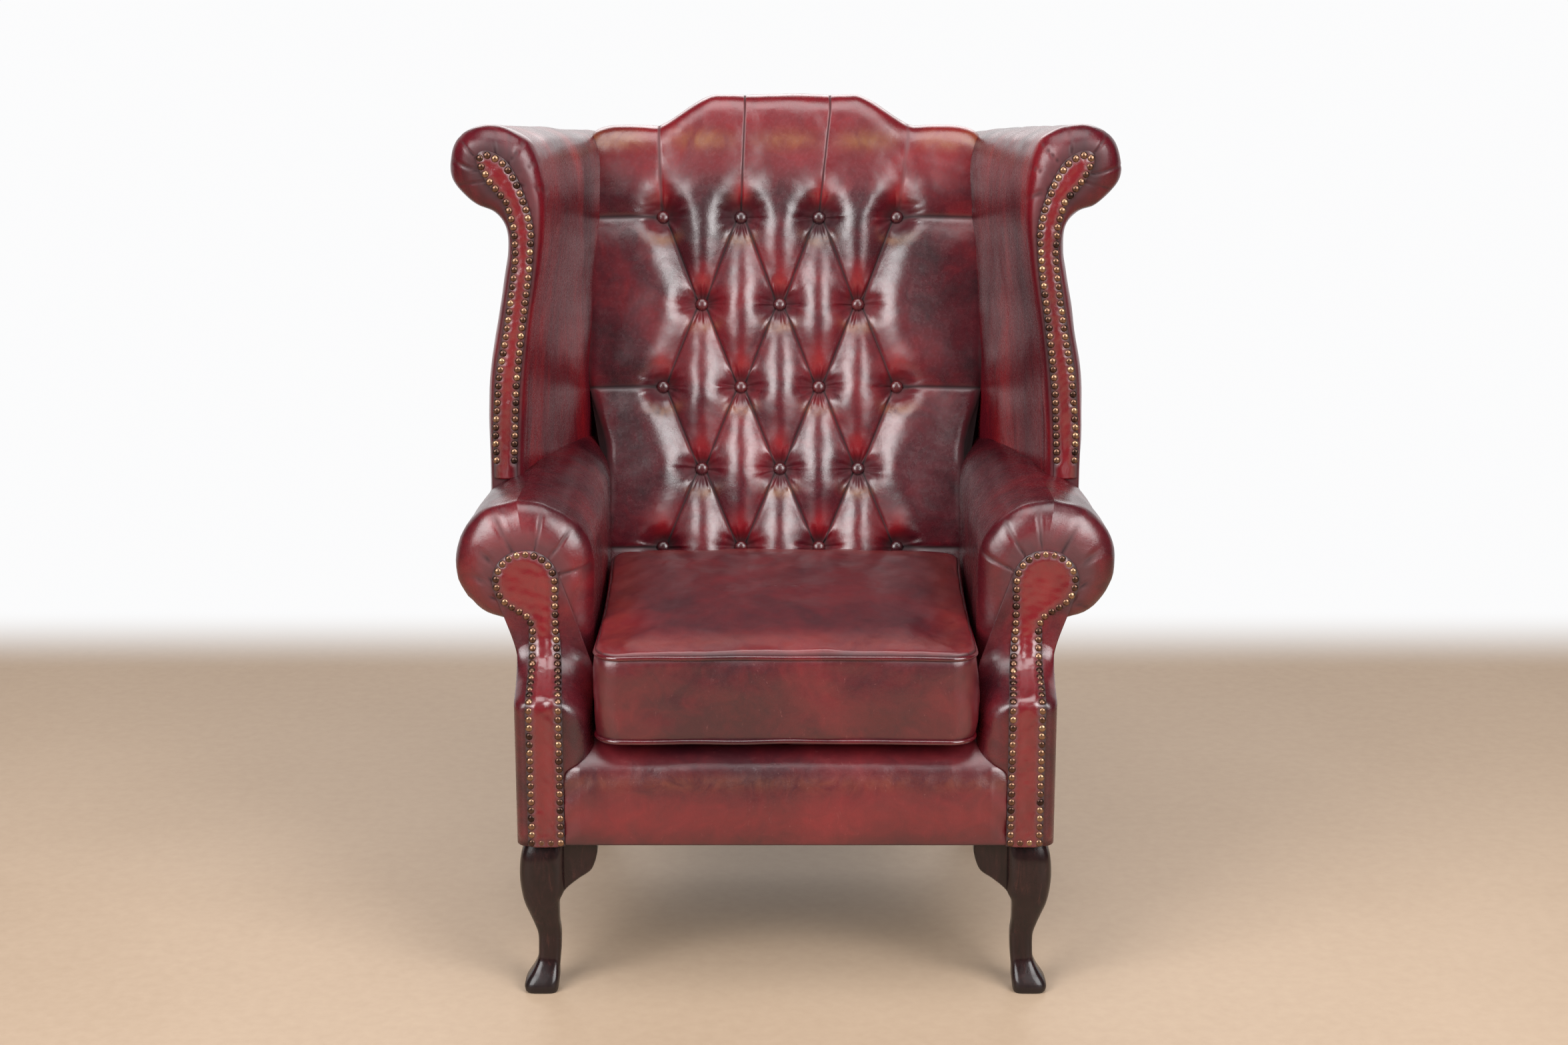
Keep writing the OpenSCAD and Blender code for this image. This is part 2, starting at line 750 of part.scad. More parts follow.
// Front outline of a wing, at its fullest, and the edge of its facing, both from the inner foot up
// over the scroll and down the outside. X as a share of wing_flare from the roll's centre, Z as a
// share of wing_rise above the arm.
wing_full_shares = [
  [0.54, -0.17], [0.54, 0.12], [0.51, 0.28], [0.39, 0.43], [0.26, 0.58], [0.215, 0.64], [0.24, 0.71],
  [0.4, 0.75], [0.63, 0.77], [0.84, 0.805], [0.98, 0.845], [1, 0.89], [0.92, 0.95], [0.73, 0.985],
  [0.44, 1], [0.1, 0.985], [-0.17, 0.95], [-0.32, 0.86], [-0.36, 0.76], [-0.28, 0.61], [-0.14, 0.44],
  [-0.04, 0.24], [0.02, 0.02], [0.04, -0.17]
];
wing_facing_shares = [
  [0.48, -0.17], [0.475, 0.12], [0.42, 0.28], [0.3, 0.41], [0.18, 0.55], [0.12, 0.62], [0.13, 0.7],
  [0.22, 0.775], [0.35, 0.81], [0.46, 0.84], [0.55, 0.87], [0.61, 0.9], [0.59, 0.925], [0.51, 0.935],
  [0.36, 0.93], [0.18, 0.905], [0.03, 0.855], [-0.11, 0.78], [-0.18, 0.71], [-0.15, 0.59], [-0.04, 0.42],
  [0.07, 0.24], [0.14, 0.02], [0.145, -0.17]
];
// Back outline of a wing, X as a share of the arm's width at the back
wing_back_shares = [
  [0.95, -0.17], [0.95, 0.12], [0.95, 0.28], [0.95, 0.43], [0.95, 0.58], [0.96, 0.64], [0.98, 0.68],
  [1.02, 0.71], [1.08, 0.73], [1.13, 0.75], [1.15, 0.77], [1.13, 0.795], [1.05, 0.815], [0.85, 0.83],
  [0.6, 0.835], [0.35, 0.83], [0.15, 0.815], [0.04, 0.78], [0, 0.72], [0, 0.61], [0, 0.44],
  [0, 0.24], [0, 0.02], [0, -0.17]
];

function wing_places(shares) = [for (p = shares) [roll_x + p[0] * wing_flare, arm_top + p[1] * wing_rise]];
wing_full = wing_places(wing_full_shares);
wing_facing_edge = wing_places(wing_facing_shares);
wing_back = [for (p = wing_back_shares) [half_seat + p[0] * (arm_w - arm_converge), arm_top + p[1] * wing_rise]];
wing_face_y = wing_setback + facing_t * 0.25;
wing_full_y = wing_face_y + wing_edge_r;

module wing_body() {
  edge = [
    for (s = [0, 0.1, 0.35, 1])
      [
        for (p = blend(wing_facing_edge, wing_full, quarter(s)))
          [p[0], wing_face_y + s * wing_edge_r, p[1]]
      ]
  ];
  run = [
    for (t = [0.25, 0.5, 0.75, 1])
      [for (p = blend(wing_full, wing_back, t)) [p[0], lerp(wing_full_y, outside_y(p[1]), t), p[1]]]
  ];
  loft(concat(edge, run), rungs = true);
}

// The wing behind its rounded front, run on past the outside back. The back rests against it.
module wing_back_part() {
  loft([
    for (t = [0, 0.25, 0.5, 0.75, 1, past])
      [for (p = blend(wing_full, wing_back, t)) [p[0], lerp(wing_full_y, outside_y(p[1]), t), p[1]]]
  ], rungs = true);
}

wing_board_t = 18;
wing_bend_shares = [[0, 0.31], [0.28, 0.22], [0.72, -0.03]];
function wing_mid_x(z) = roll_x + wing_flare * lookup((z - arm_top) / wing_rise, wing_bend_shares);

// Plywood board inside a wing, from its facing to the back post, drawn at three heights
module wing_board() {
  heights = [for (s = [0.04, 0.31, 0.72]) arm_top + s * wing_rise];
  front_y = wing_setback + facing_t;
  back_x = post_out_x - wing_board_t / 2;
  color("tan") loft([
    for (k = [0, 1])
      [
        for (side = [1, -1], i = [0:2])
          let (z = heights[side > 0 ? i : 2 - i])
            [
              lerp(wing_mid_x(z), back_x, k) + side * wing_board_t / 2,
              lerp(front_y, post_front(z), k),
              z
            ]
      ]
  ], rungs = true);
}

// Points of the wing facing's outline moved in towards its middle line
wing_middle = [for (i = [0:11]) (wing_facing_edge[i] + wing_facing_edge[23 - i]) / 2];
wing_scroll_i = 9;
function wing_inset(i, by) =
  let (k = min(i, 23 - i), p = wing_facing_edge[i])
    p + unit(wing_middle[min(k, wing_scroll_i)] - p) * by;

module wing_facing_shape() {
  push_back(wing_setback, wing_setback + facing_t) polygon([
    for (i = [0:23]) wing_inset(i, 2 * soft_gap) + [0, soft_gap]
  ]);
}

module wing_facing() {
  color([0.36, 0.06, 0.07]) difference() {
    wing_facing_shape();
    arm_back_part();
  }
}

module wing_cover() {
  color([0.42, 0.07, 0.08]) difference() {
    wing_body();
    arm_back_part();
    wing_facing_shape();
    wing_board();
    back_post();
    crest_rail();
    back_webbing();
    outside_back_shape(soft_gap);
  }
}

// Nails up the outside of a wing facing, round its scroll and down the inside
module wing_nails() {
  path = [for (i = [0:23]) let (p = wing_inset(i, facing_edge)) [p[0], wing_setback, p[1]]];
  color("peru") for (p = along_path(path, nail_pitch)) if (p.z > arm_top + nail_d / 2)
    translate(p) nail(0);
}

// Buttoned back

tuft_pitch = 0.2255 * seat_w;
tuft_shift = -8;
// Heights of the rows of buttons, from the lowest to the highest
row_shares = [0, 0.238, 0.486, 0.736, 1];
buttons = [
  for (r = [0:4], k = [0:r % 2 == 0 ? 3 : 2])
    [(k - (r % 2 == 0 ? 1.5 : 1)) * tuft_pitch + tuft_shift, row_shares[r] * tuft_h]
];
function row(r) = [for (b = buttons) if (abs(b[1] - row_shares[r] * tuft_h) < slack) b];

back_half_w = half_seat + 36 / 64.5 * (arm_w - arm_converge);
back_low_v = -(welt_top_z - deck_z) / cos(back_rake) * 1.02;
back_top_v = (crest_z - welt_top_z) / cos(back_rake);

// Sewn and pulled creases: diamonds between the buttons, runs over the crest, to the sides and down
creases = concat(
  [
    for (r = [1, 3], b = row(r), q = concat(row(r - 1), row(r + 1)))
      if (abs(q[0] - b[0]) < tuft_pitch) [b, q]
  ],
  [for (b = row(4)) [b, [b[0], back_top_v * 1.2]]],
  [for (b = row(0)) [b, [b[0], back_low_v * 1.2]]],
  [for (r = [0, 2, 4], side = [0, 3]) let (b = row(r)[side]) [b, [(side == 0 ? -1 : 1) * back_half_w * 1.2, b[1]]]]
);

function to_segment(p, a, b) =
  let (ab = b - a, t = max(0, min(1, (p - a) * ab / (ab * ab)))) norm(p - a - t * ab);

// Depth of the leather below the pillows' tops
pillow_w = 0.36 * tuft_pitch;
function tuft(p) =
  let (
    crease = min([for (c = creases) to_segment(p, c[0], c[1])]),
    dimple = min([for (b = buttons) norm(p - b)]),
    fade = 1 - 0.45 * max(0, min(1, (p[1] - tuft_h) / (back_top_v - tuft_h))),
    c = 1 - min(1, crease / pillow_w),
    d = 1 - min(1, dimple / pillow_w)
  )
    -tuft_depth * (0.62 * fade * c * c + 0.38 * d * d);

// Height of the crest at a distance from the middle: flat, then an S down to the shoulders
function smooth(t) = let (u = max(0, min(1, t))) u * u * (3 - 2 * u);
function crest_at(x) =
  shoulder_z
  + crest_rise * (1 - smooth((abs(x) / back_half_w - 0.36) / 0.29))
  - crest_rise * 0.4 * smooth((abs(x) / back_half_w - 0.78) / 0.22);

crest_d = (outside_y(shoulder_z) - inside_y(shoulder_z, 0)) * cos(back_rake);
tuft_back_w = -0.4 * crest_d;
crest_lip = 0.55 * crest_rise;
// Size of the crest's rounding
crest_e = 0.24 * crest_d;

// Lines across the back at which its surface is drawn: evenly between two rows of buttons
cell = 3;
tuft_lines = concat(
  [for (k = [0, 1]) lerp(back_low_v, 0, k / 2)],
  [for (r = [0:3], k = [0:cell - 1]) lerp(row_shares[r], row_shares[r + 1], k / cell) * tuft_h],
  [tuft_h]
);
// Columns: evenly between the outer buttons, and wider from there to the sides
tuft_columns = concat(
  [for (k = [0, 1]) lerp(-back_half_w, tuft_shift - 1.5 * tuft_pitch, k / 2)],
  [for (k = [0:3 * 2 * cell]) tuft_shift - 1.5 * tuft_pitch + k * tuft_pitch / 2 / cell],
  [for (k = [1, 2]) lerp(tuft_shift + 1.5 * tuft_pitch, back_half_w, k / 2)]
);

function back_section(u) =
  let (e = crest_e, top = (crest_at(u) - welt_top_z + e * sin(back_rake)) / cos(back_rake))
    concat(
      [for (v = tuft_lines) back_point(u, v, tuft([u, v]))],
      [for (k = [1:4]) let (v = lerp(tuft_h, top - e, k / 4)) back_point(u, v, tuft([u, v]))],
      [
        back_point(u, top - 0.28 * e, -0.3 * e + 0.5 * tuft([u, tuft_h * 1.2])),
        back_point(u, top, -e + 0.3 * tuft([u, tuft_h * 1.2])),
        back_point(u, top, -2.8 * e),
        back_point(u, top - 0.4 * e, -crest_d + 0.35 * e),
        [u, outside_y(crest_at(u) - e), crest_at(u) - e],
        [u, outside_y(shoulder_z - crest_lip * 2), shoulder_z - crest_lip * 2],
        back_point(u, (shoulder_z - crest_lip * 2 - welt_top_z) / cos(back_rake), tuft_back_w),
        back_point(u, back_low_v, tuft_back_w)
      ]
    );

// Depth of a point of the back behind the plane of its pillows
function behind(p) = (p.y - seat_d) * cos(back_rake) - (p.z - welt_top_z) * sin(back_rake);

// The back's faces are split along the deeper diagonal, so that each crease follows their edges
module back_body() {
  rings = [for (u = tuft_columns) back_section(u)];
  n = len(rings[0]);
  m = len(rings);
  hub_v = (shoulder_z - crest_lip - welt_top_z) / cos(back_rake);
  hubs = [for (u = [-back_half_w, back_half_w]) back_point(u, hub_v, tuft_back_w / 2)];
  points = concat([for (r = rings) each r], hubs);
  sides = [
    for (i = [0:m - 2], j = [0:n - 1])
      let (a = i * n + j, b = i * n + (j + 1) % n, c = (i + 1) * n + (j + 1) % n, d = (i + 1) * n + j)
        each behind(points[a]) + behind(points[c]) > behind(points[b]) + behind(points[d])
          ? [[a, b, c], [a, c, d]]
          : [[a, b, d], [b, c, d]]
  ];
  ends = [
    for (j = [0:n - 1])
      each [[(j + 1) % n, j, m * n], [(m - 1) * n + j, (m - 1) * n + (j + 1) % n, m * n + 1]]
  ];
  polyhedron(points = points, faces = concat(sides, ends), convexity = 8);
}

// Places a shape on the inside back, its Z out of the back
module on_back(p, w) {
  translate(back_point(p[0], p[1], w)) rotate([90 - back_rake, 0, 0]) children();
}

button_seat = -tuft_depth;
button_h = 7;
tie_d = 2;
// Diameter across the corners of a hole with a few sides, in which a round piece of diameter d fits
function round_in(d, sides) = d / cos(180 / sides);

module button_holes() {
  for (b = buttons) {
    on_back(b, button_seat) cylinder(d = round_in(button_d + 2 * slack, 8), h = tuft_depth, $fn = 8);
    on_back(b, button_seat - crest_d) cylinder(d = round_in(tie_d + slack, 4), h = crest_d + over, $fn = 4);
  }
}

module tufted_back() {
  color([0.42, 0.07, 0.08]) difference() {
    back_body();
    arm_back_part();
    left_side() arm_back_part();
    wing_back_part();
    left_side() wing_back_part();
    back_post();
    left_side() back_post();
    crest_rail();
    button_holes();
    outside_back_shape(soft_gap);
    block([-half_seat, 0, leg_h], [half_seat, deck_back_y(deck_z) + slack, deck_z]);
  }
}

// Foam slab behind the buttoned leather, on the webbing
module back_foam() {
  top = shoulder_z - crest_lip * 2 - crest_rail_h;
  color("moccasin") difference() {
    push_across(-half_seat + slack, half_seat - slack) polygon([
      [inside_y(deck_z, tuft_back_w), deck_z],
      [inside_y(top, tuft_back_w), top],
      [inside_y(top, back_foam_w), top],
      [inside_y(deck_z, back_foam_w), deck_z]
    ]);
    button_holes();
  }
}

strap_t = 2;
strap_w = 50;
strap_count = 5;
// Webbing straps across the back posts, behind the foam
module back_webbing() {
  v0 = (deck_z + rail_h - welt_top_z) / cos(back_rake);
  v1 = (post_top - crest_rail_h - strap_w - welt_top_z) / cos(back_rake);
  color("wheat") for (i = [0:strap_count - 1])
    translate(back_point(-post_in_x, lerp(v0, v1, i / (strap_count - 1)), back_foam_w - strap_t))
      rotate([90 - back_rake, 0, 0]) cube([2 * post_in_x, strap_w, strap_t]);
}

// Covered buttons, each with the twine that ties it through the foam
module back_buttons() {
  r = button_d / 2;
  color([0.34, 0.05, 0.06]) for (b = buttons) on_back(b, button_seat) rotate_extrude($fn = 24) polygon([
    [0, back_foam_w - button_seat],
    [tie_d / 2, back_foam_w - button_seat],
    [tie_d / 2, 0],
    [r * 0.8, 0],
    [r, button_h * 0.35],
    for (a = [30, 60]) [r * cos(a), button_h * (0.35 + 0.65 * sin(a))],
    [0, button_h]
  ]);
}

// Outside back: a leather-covered board from the seat frame to the crest
module outside_back_shape(more) {
  top = shoulder_z - crest_lip * 2;
  low = leg_h - more;
  push_across(-wall_end_x, wall_end_x) polygon([
    [outside_y(low) - board_gap - more, low],
    [outside_y(top) - board_gap - more, top],
    [outside_y(top) + leather_t, top],
    [outside_y(low) + leather_t, low]
  ]);
}
module outside_back() {
  color([0.38, 0.06, 0.07]) outside_back_shape(0);
}

// Front border: padded leather over the front seat rail, rolled back under the cushion
module front_border() {
  z0 = leg_h;
  color([0.42, 0.07, 0.08]) difference() {
    push_across(-facing_in_x + facing_edge, facing_in_x - facing_edge) polygon([
      [front_rail_y, z0],
      [leather_t, z0],
      [0, z0 + 0.12 * rail_h],
      [-leather_t, z0 + 0.5 * rail_h],
      [-leather_t * 0.6, z0 + 0.8 * rail_h],
      [leather_t, rail_top],
      [0.3 * front_rail_y, rail_top + 0.3 * deck_rise],
      [front_rail_y, rail_top + 0.72 * deck_rise],
      [1.8 * front_rail_y, deck_z - 0.05 * deck_rise],
      [deck_front_y, deck_z],
      [deck_front_y, insulator_z],
      [front_rail_y, insulator_z]
    ]);
    arm_body();
    left_side() arm_body();
    arm_stump();
    left_side() arm_stump();
  }
}

// Loose seat cushion

cushion_back_gap = 5;
cushion_x = half_seat - cushion_gap;
cushion_y0 = -cushion_nose;
cushion_y1 = inside_y(welt_low_z, 0) - cushion_back_gap;
cushion_mid_y = (cushion_y0 + cushion_y1) / 2;
cushion_half_d = (cushion_y1 - cushion_y0) / 2;

// Point of the cushion's outline on one of its sides, at a share s from the side's middle to its corner
function side_point(on_x, sx, sy, hx, hy, r, s) =
  let (draw = cushion_draw * (1 - s * s))
    on_x ? [sx * (hx - draw), sy * s * (hy - r)] : [sx * s * (hx - r), sy * (hy - draw)];

// Outline of the cushion, pulled in by an inset: each quarter runs from the middle of one side, round a corner,
// to the middle of the next
function cushion_outline(inset) =
  let (
    hx = cushion_x - inset,
    hy = cushion_half_d - inset,
    r = max(welt_d, cushion_corner_r - inset * 0.4)
  )
    [
      for (q = [0:3])
        let (
          sx = q == 0 || q == 3 ? 1 : -1,
          sy = q < 2 ? 1 : -1,
          even = q % 2 == 0,
          corner = arc(sx * (hx - r), sy * (hy - r), r, r, q * 90, q * 90 + 90, 4),
          before = [for (s = [0, 0.5]) side_point(even, sx, sy, hx, hy, r, s)],
          after = side_point(!even, sx, sy, hx, hy, r, 0.5)
        )
          for (p = concat(before, corner, [after])) [p[0], cushion_mid_y + p[1]]
    ];

wall_inset = 0.55 * welt_d;
cushion_bulge = 0.7;

// Levels of the cushion from its top to its underside: inset from the edge, and height
cushion_levels = [
  [0.62 * cushion_x, welt_top_z + cushion_crown],
  [0.36 * cushion_x, welt_top_z + 0.9 * cushion_crown],
  [0.18 * cushion_x, welt_top_z + 0.68 * cushion_crown],
  [0.07 * cushion_x, welt_top_z + 0.4 * cushion_crown],
  [wall_inset, welt_top_z + welt_d * 0.65],
  [wall_inset, welt_top_z - welt_d * 0.65],
  [-cushion_bulge, lerp(welt_low_z, welt_top_z, 0.6)],
  [wall_inset, welt_low_z + welt_d * 0.65],
  [wall_inset, welt_low_z - welt_d * 0.65],
  [0.06 * cushion_x, welt_low_z - 0.75 * cushion_under],
  [0.14 * cushion_x, welt_low_z - cushion_under]
];

module cushion_body() {
  loft([for (l = cushion_levels) [for (p = cushion_outline(l[0])) [p[0], p[1], l[1]]]]);
}

cushion_skin = 12;
module cushion_foam() {
  x = cushion_x - cushion_skin - cushion_draw;
  color("moccasin") cushion_core(x);
}
module cushion_core(x) {
  block(
    [-x, cushion_y0 + cushion_skin + cushion_draw, welt_low_z],
    [x, cushion_y1 - cushion_skin - cushion_draw, welt_top_z]
  );
}

module cushion_cover() {
  color([0.45, 0.08, 0.09]) difference() {
    cushion_body();
    cushion_core(cushion_x - cushion_skin - cushion_draw);
    welt(welt_top_z, welt_d / 2);
    welt(welt_low_z, welt_d / 2);
    zip_shape();
  }
}

function welt_path(z) = [for (p = cushion_outline(welt_d / 2)) [p[0], p[1], z]];
module welt(z, r) {
  tube(welt_path(z), r, 6, true);
}
module cushion_welt() {
  color([0.36, 0.06, 0.07]) {
    welt(welt_top_z, welt_d / 2);
    welt(welt_low_z, welt_d / 2);
  }
}

// Zip across the back wall of the cushion
zip_w = 24;
zip_t = 3;
module zip_shape() {
  mid = (welt_low_z + welt_top_z) / 2;
  y = cushion_y1 - cushion_draw - zip_t;
  block([-0.8 * cushion_x, y - zip_t, mid - zip_w / 2], [0.8 * cushion_x, y + zip_t, mid + zip_w / 2]);
}
module cushion_zip() {
  color("dimgray") zip_shape();
}

// Legs

// Heights down a front leg, its width, and how far its middle stands out along each side, all as
// shares: of leg_h, of the widths named beside them, and of knee_w
leg_levels = [
  [1, knee_w * 0.92, 0.02], [0.9, knee_w, 0.08], [0.78, knee_w * 1.02, 0.1], [0.68, knee_w * 0.98, 0.09],
  [0.6, knee_w * 0.8, 0.12], [0.52, knee_w * 0.68, 0.08], [0.44, ankle_w * 1.12, 0.03],
  [0.36, ankle_w * 1.02, -0.02], [0.27, ankle_w, -0.02], [0.2, ankle_w, 0], [0.14, ankle_w * 1.16, 0.06],
  [0.085, foot_w * 0.95, 0.13], [0.045, foot_w, 0.17], [0.015, foot_w * 0.97, 0.17], [0, foot_w * 0.9, 0.16]
];
leg_centre_x = arm_out - knee_w * 0.64;

// Square with rounded corners, counterclockwise from above
function leg_ring(cx, cy, w, z, round_share) =
  let (h = w / 2, r = h * round_share)
    [
      for (q = [0:3], k = [0, 1, 2])
        let (sx = q == 0 || q == 3 ? 1 : -1, sy = q < 2 ? 1 : -1, a = q * 90 + k * 45)
          [cx + sx * (h - r) + r * cos(a), cy + sy * (h - r) + r * sin(a), z]
    ];

// Knee bracket beside the top of a front leg, as shares of its reach and of its height
ear_l = 53;
ear_h = 93;
ear_t = 30;
ear_root_x = leg_centre_x - knee_w * 0.24;
ear_in_x = ear_root_x - ear_l;
ear_shares = [
  [0, 0], [0, 0.17], [0.06, 0.31], [0.17, 0.44], [0.47, 0.565], [0.77, 0.71], [0.94, 0.855], [1, 1], [1.1, 1], [1.1, 0]
];
module ear_outline() {
  polygon([for (p = ear_shares) [(p[0] - 1) * ear_l, leg_h - p[1] * ear_h]]);
}

module front_leg() {
  across = arm_out - leg_centre_x;
  color([0.16, 0.06, 0.04]) difference() {
    union() {
      loft([
        for (l = leg_levels)
          let (out = knee_w * l[2])
            leg_ring(leg_centre_x + out, arm_out - leg_centre_x - out, l[1], leg_h * l[0], 0.45)
      ]);
      translate([ear_root_x, 0, 0]) push_back(across - 0.7 * ear_t, across + 0.3 * ear_t) ear_outline();
      translate([arm_out, arm_out - ear_root_x, 0]) rotate([0, 0, -90])
        push_back(-across - 0.3 * ear_t, -across + 0.7 * ear_t) ear_outline();
    }
    leg_bolt_bore();
  }
}

// Rear leg: square, tapered and raked back
module rear_leg() {
  x = rear_leg_x;
  color([0.16, 0.06, 0.04]) difference() {
    loft([
      leg_ring(x, rear_leg_y, rear_leg_w, leg_h, 0.15),
      leg_ring(x, rear_leg_y + 0.25 * rear_leg_splay, lerp(rear_leg_w, rear_foot_w, 0.4), leg_h * 0.55, 0.15),
      leg_ring(x, rear_leg_y + rear_leg_splay, rear_foot_w, 0, 0.15)
    ]);
    rear_bolt_bore();
  }
}

// Double-ended bolts that hold the legs to the frame
module leg_bolts() {
  color("silver") for (side = [-1, 1], p = [[front_leg_x, front_leg_y], [rear_leg_x, rear_leg_y]])
    translate([side * p[0], p[1], leg_h - bolt_h + bolt_up])
      cylinder(d = bolt_d, h = bolt_h, $fn = 32);
}

// The whole chair stands with the middle of its box on the origin
front_most = -cushion_nose - cushion_bulge;
back_most = outside_y(crest_z - crest_e);
module placed() {
  translate([0, -(front_most + back_most) / 2, 0]) children();
}

placed() front_rail();
placed() back_rail();
placed() left_side() side_rail();  // left_side_rail
placed() side_rail();  // right_side_rail
placed() corner_blocks();
placed() left_side() arm_stump();  // left_arm_stump
placed() arm_stump();  // right_arm_stump
placed() left_side() arm_rail();  // left_arm_rail
placed() arm_rail();  // right_arm_rail
placed() left_side() back_post();  // left_back_post
placed() back_post();  // right_back_post
placed() crest_rail();
placed() lower_back_rail();
placed() left_side() wing_board();  // left_wing_board
placed() wing_board();  // right_wing_board
placed() seat_springs();
placed() spring_clips();
placed() seat_insulator();
placed() deck_foam();
placed() seat_deck();
placed() dust_cover();
placed() left_side() arm_foam();  // left_arm_foam
placed() arm_foam();  // right_arm_foam
placed() left_side() arm_cover();  // left_arm_cover
placed() arm_cover();  // right_arm_cover
placed() left_side() arm_facing();  // left_arm_facing
placed() arm_facing();  // right_arm_facing
placed() left_side() arm_nails_outer();  // left_arm_nails_outer
placed() arm_nails_outer();  // right_arm_nails_outer
placed() left_side() arm_nails_inner();  // left_arm_nails_inner
placed() arm_nails_inner();  // right_arm_nails_inner
placed() left_side() outside_arm();  // left_outside_arm
placed() outside_arm();  // right_outside_arm
placed() left_side() wing_cover();  // left_wing_cover
placed() wing_cover();  // right_wing_cover
placed() left_side() wing_facing();  // left_wing_facing
placed() wing_facing();  // right_wing_facing
placed() left_side() wing_nails();  // left_wing_nails
placed() wing_nails();  // right_wing_nails
placed() tufted_back();
placed() back_foam();
placed() back_webbing();
placed() back_buttons();
placed() outside_back();
placed() front_border();
placed() cushion_cover();
placed() cushion_foam();
placed() cushion_welt();
placed() cushion_zip();
placed() left_side() front_leg();  // left_front_leg
placed() front_leg();  // right_front_leg
placed() left_side() rear_leg();  // left_rear_leg
placed() rear_leg();  // right_rear_leg
placed() leg_bolts();
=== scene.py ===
import math

import bpy
import numpy as np
from mathutils import Matrix, Vector


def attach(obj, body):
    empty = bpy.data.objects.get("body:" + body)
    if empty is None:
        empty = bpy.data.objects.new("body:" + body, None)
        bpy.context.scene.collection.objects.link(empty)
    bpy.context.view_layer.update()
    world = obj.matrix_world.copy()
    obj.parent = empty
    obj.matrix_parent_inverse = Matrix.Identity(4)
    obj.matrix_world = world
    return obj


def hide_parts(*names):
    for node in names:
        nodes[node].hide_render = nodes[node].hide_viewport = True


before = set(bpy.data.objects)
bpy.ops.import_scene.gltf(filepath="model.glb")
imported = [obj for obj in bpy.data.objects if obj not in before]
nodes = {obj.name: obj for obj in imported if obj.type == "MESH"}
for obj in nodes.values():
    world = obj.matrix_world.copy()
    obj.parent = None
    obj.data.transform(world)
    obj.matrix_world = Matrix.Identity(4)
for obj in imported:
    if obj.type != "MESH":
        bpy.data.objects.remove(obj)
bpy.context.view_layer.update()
bpy.ops.object.select_all(action="DESELECT")


# The studio: a pale floor that curves up into a pale wall, two tall soft lights beside the camera, a wide one above
# the chair and a weaker one behind it. The camera stands where the photograph was taken from.
camera = bpy.data.objects.new("camera", bpy.data.cameras.new("camera"))
camera.location = (-0.002, -3.8889, 1.6453)
camera.rotation_euler = (math.radians(74.145), 0, 0)
camera.data.lens = 66.5
camera.data.sensor_width = 36
bpy.context.collection.objects.link(camera)
bpy.context.scene.camera = camera
bpy.context.scene.view_settings.view_transform = "Standard"


def soft_light(name, place, aim, width, height, watts):
    """A softbox at a place, turned towards the point that it lights."""
    lamp = bpy.data.objects.new(name, bpy.data.lights.new(name, "AREA"))
    lamp.data.shape = "RECTANGLE"
    lamp.data.size = width
    lamp.data.size_y = height
    lamp.data.energy = watts
    lamp.location = place
    lamp.rotation_euler = (Vector(aim) - Vector(place)).to_track_quat("-Z", "Y").to_euler()
    bpy.context.collection.objects.link(lamp)


soft_light("left_softbox", (-2.0, -2.5, 2.1), (0, 0, 0.7), 2.0, 2.0, 118)
soft_light("right_softbox", (2.0, -2.5, 2.1), (0, 0, 0.7), 2.0, 2.0, 118)
soft_light("top_softbox", (0, -0.9, 3.1), (0, 0, 0.5), 2.2, 1.6, 46)
soft_light("rear_softbox", (0, 3.3, 2.7), (0, 0, 0.8), 3.2, 1.8, 62)


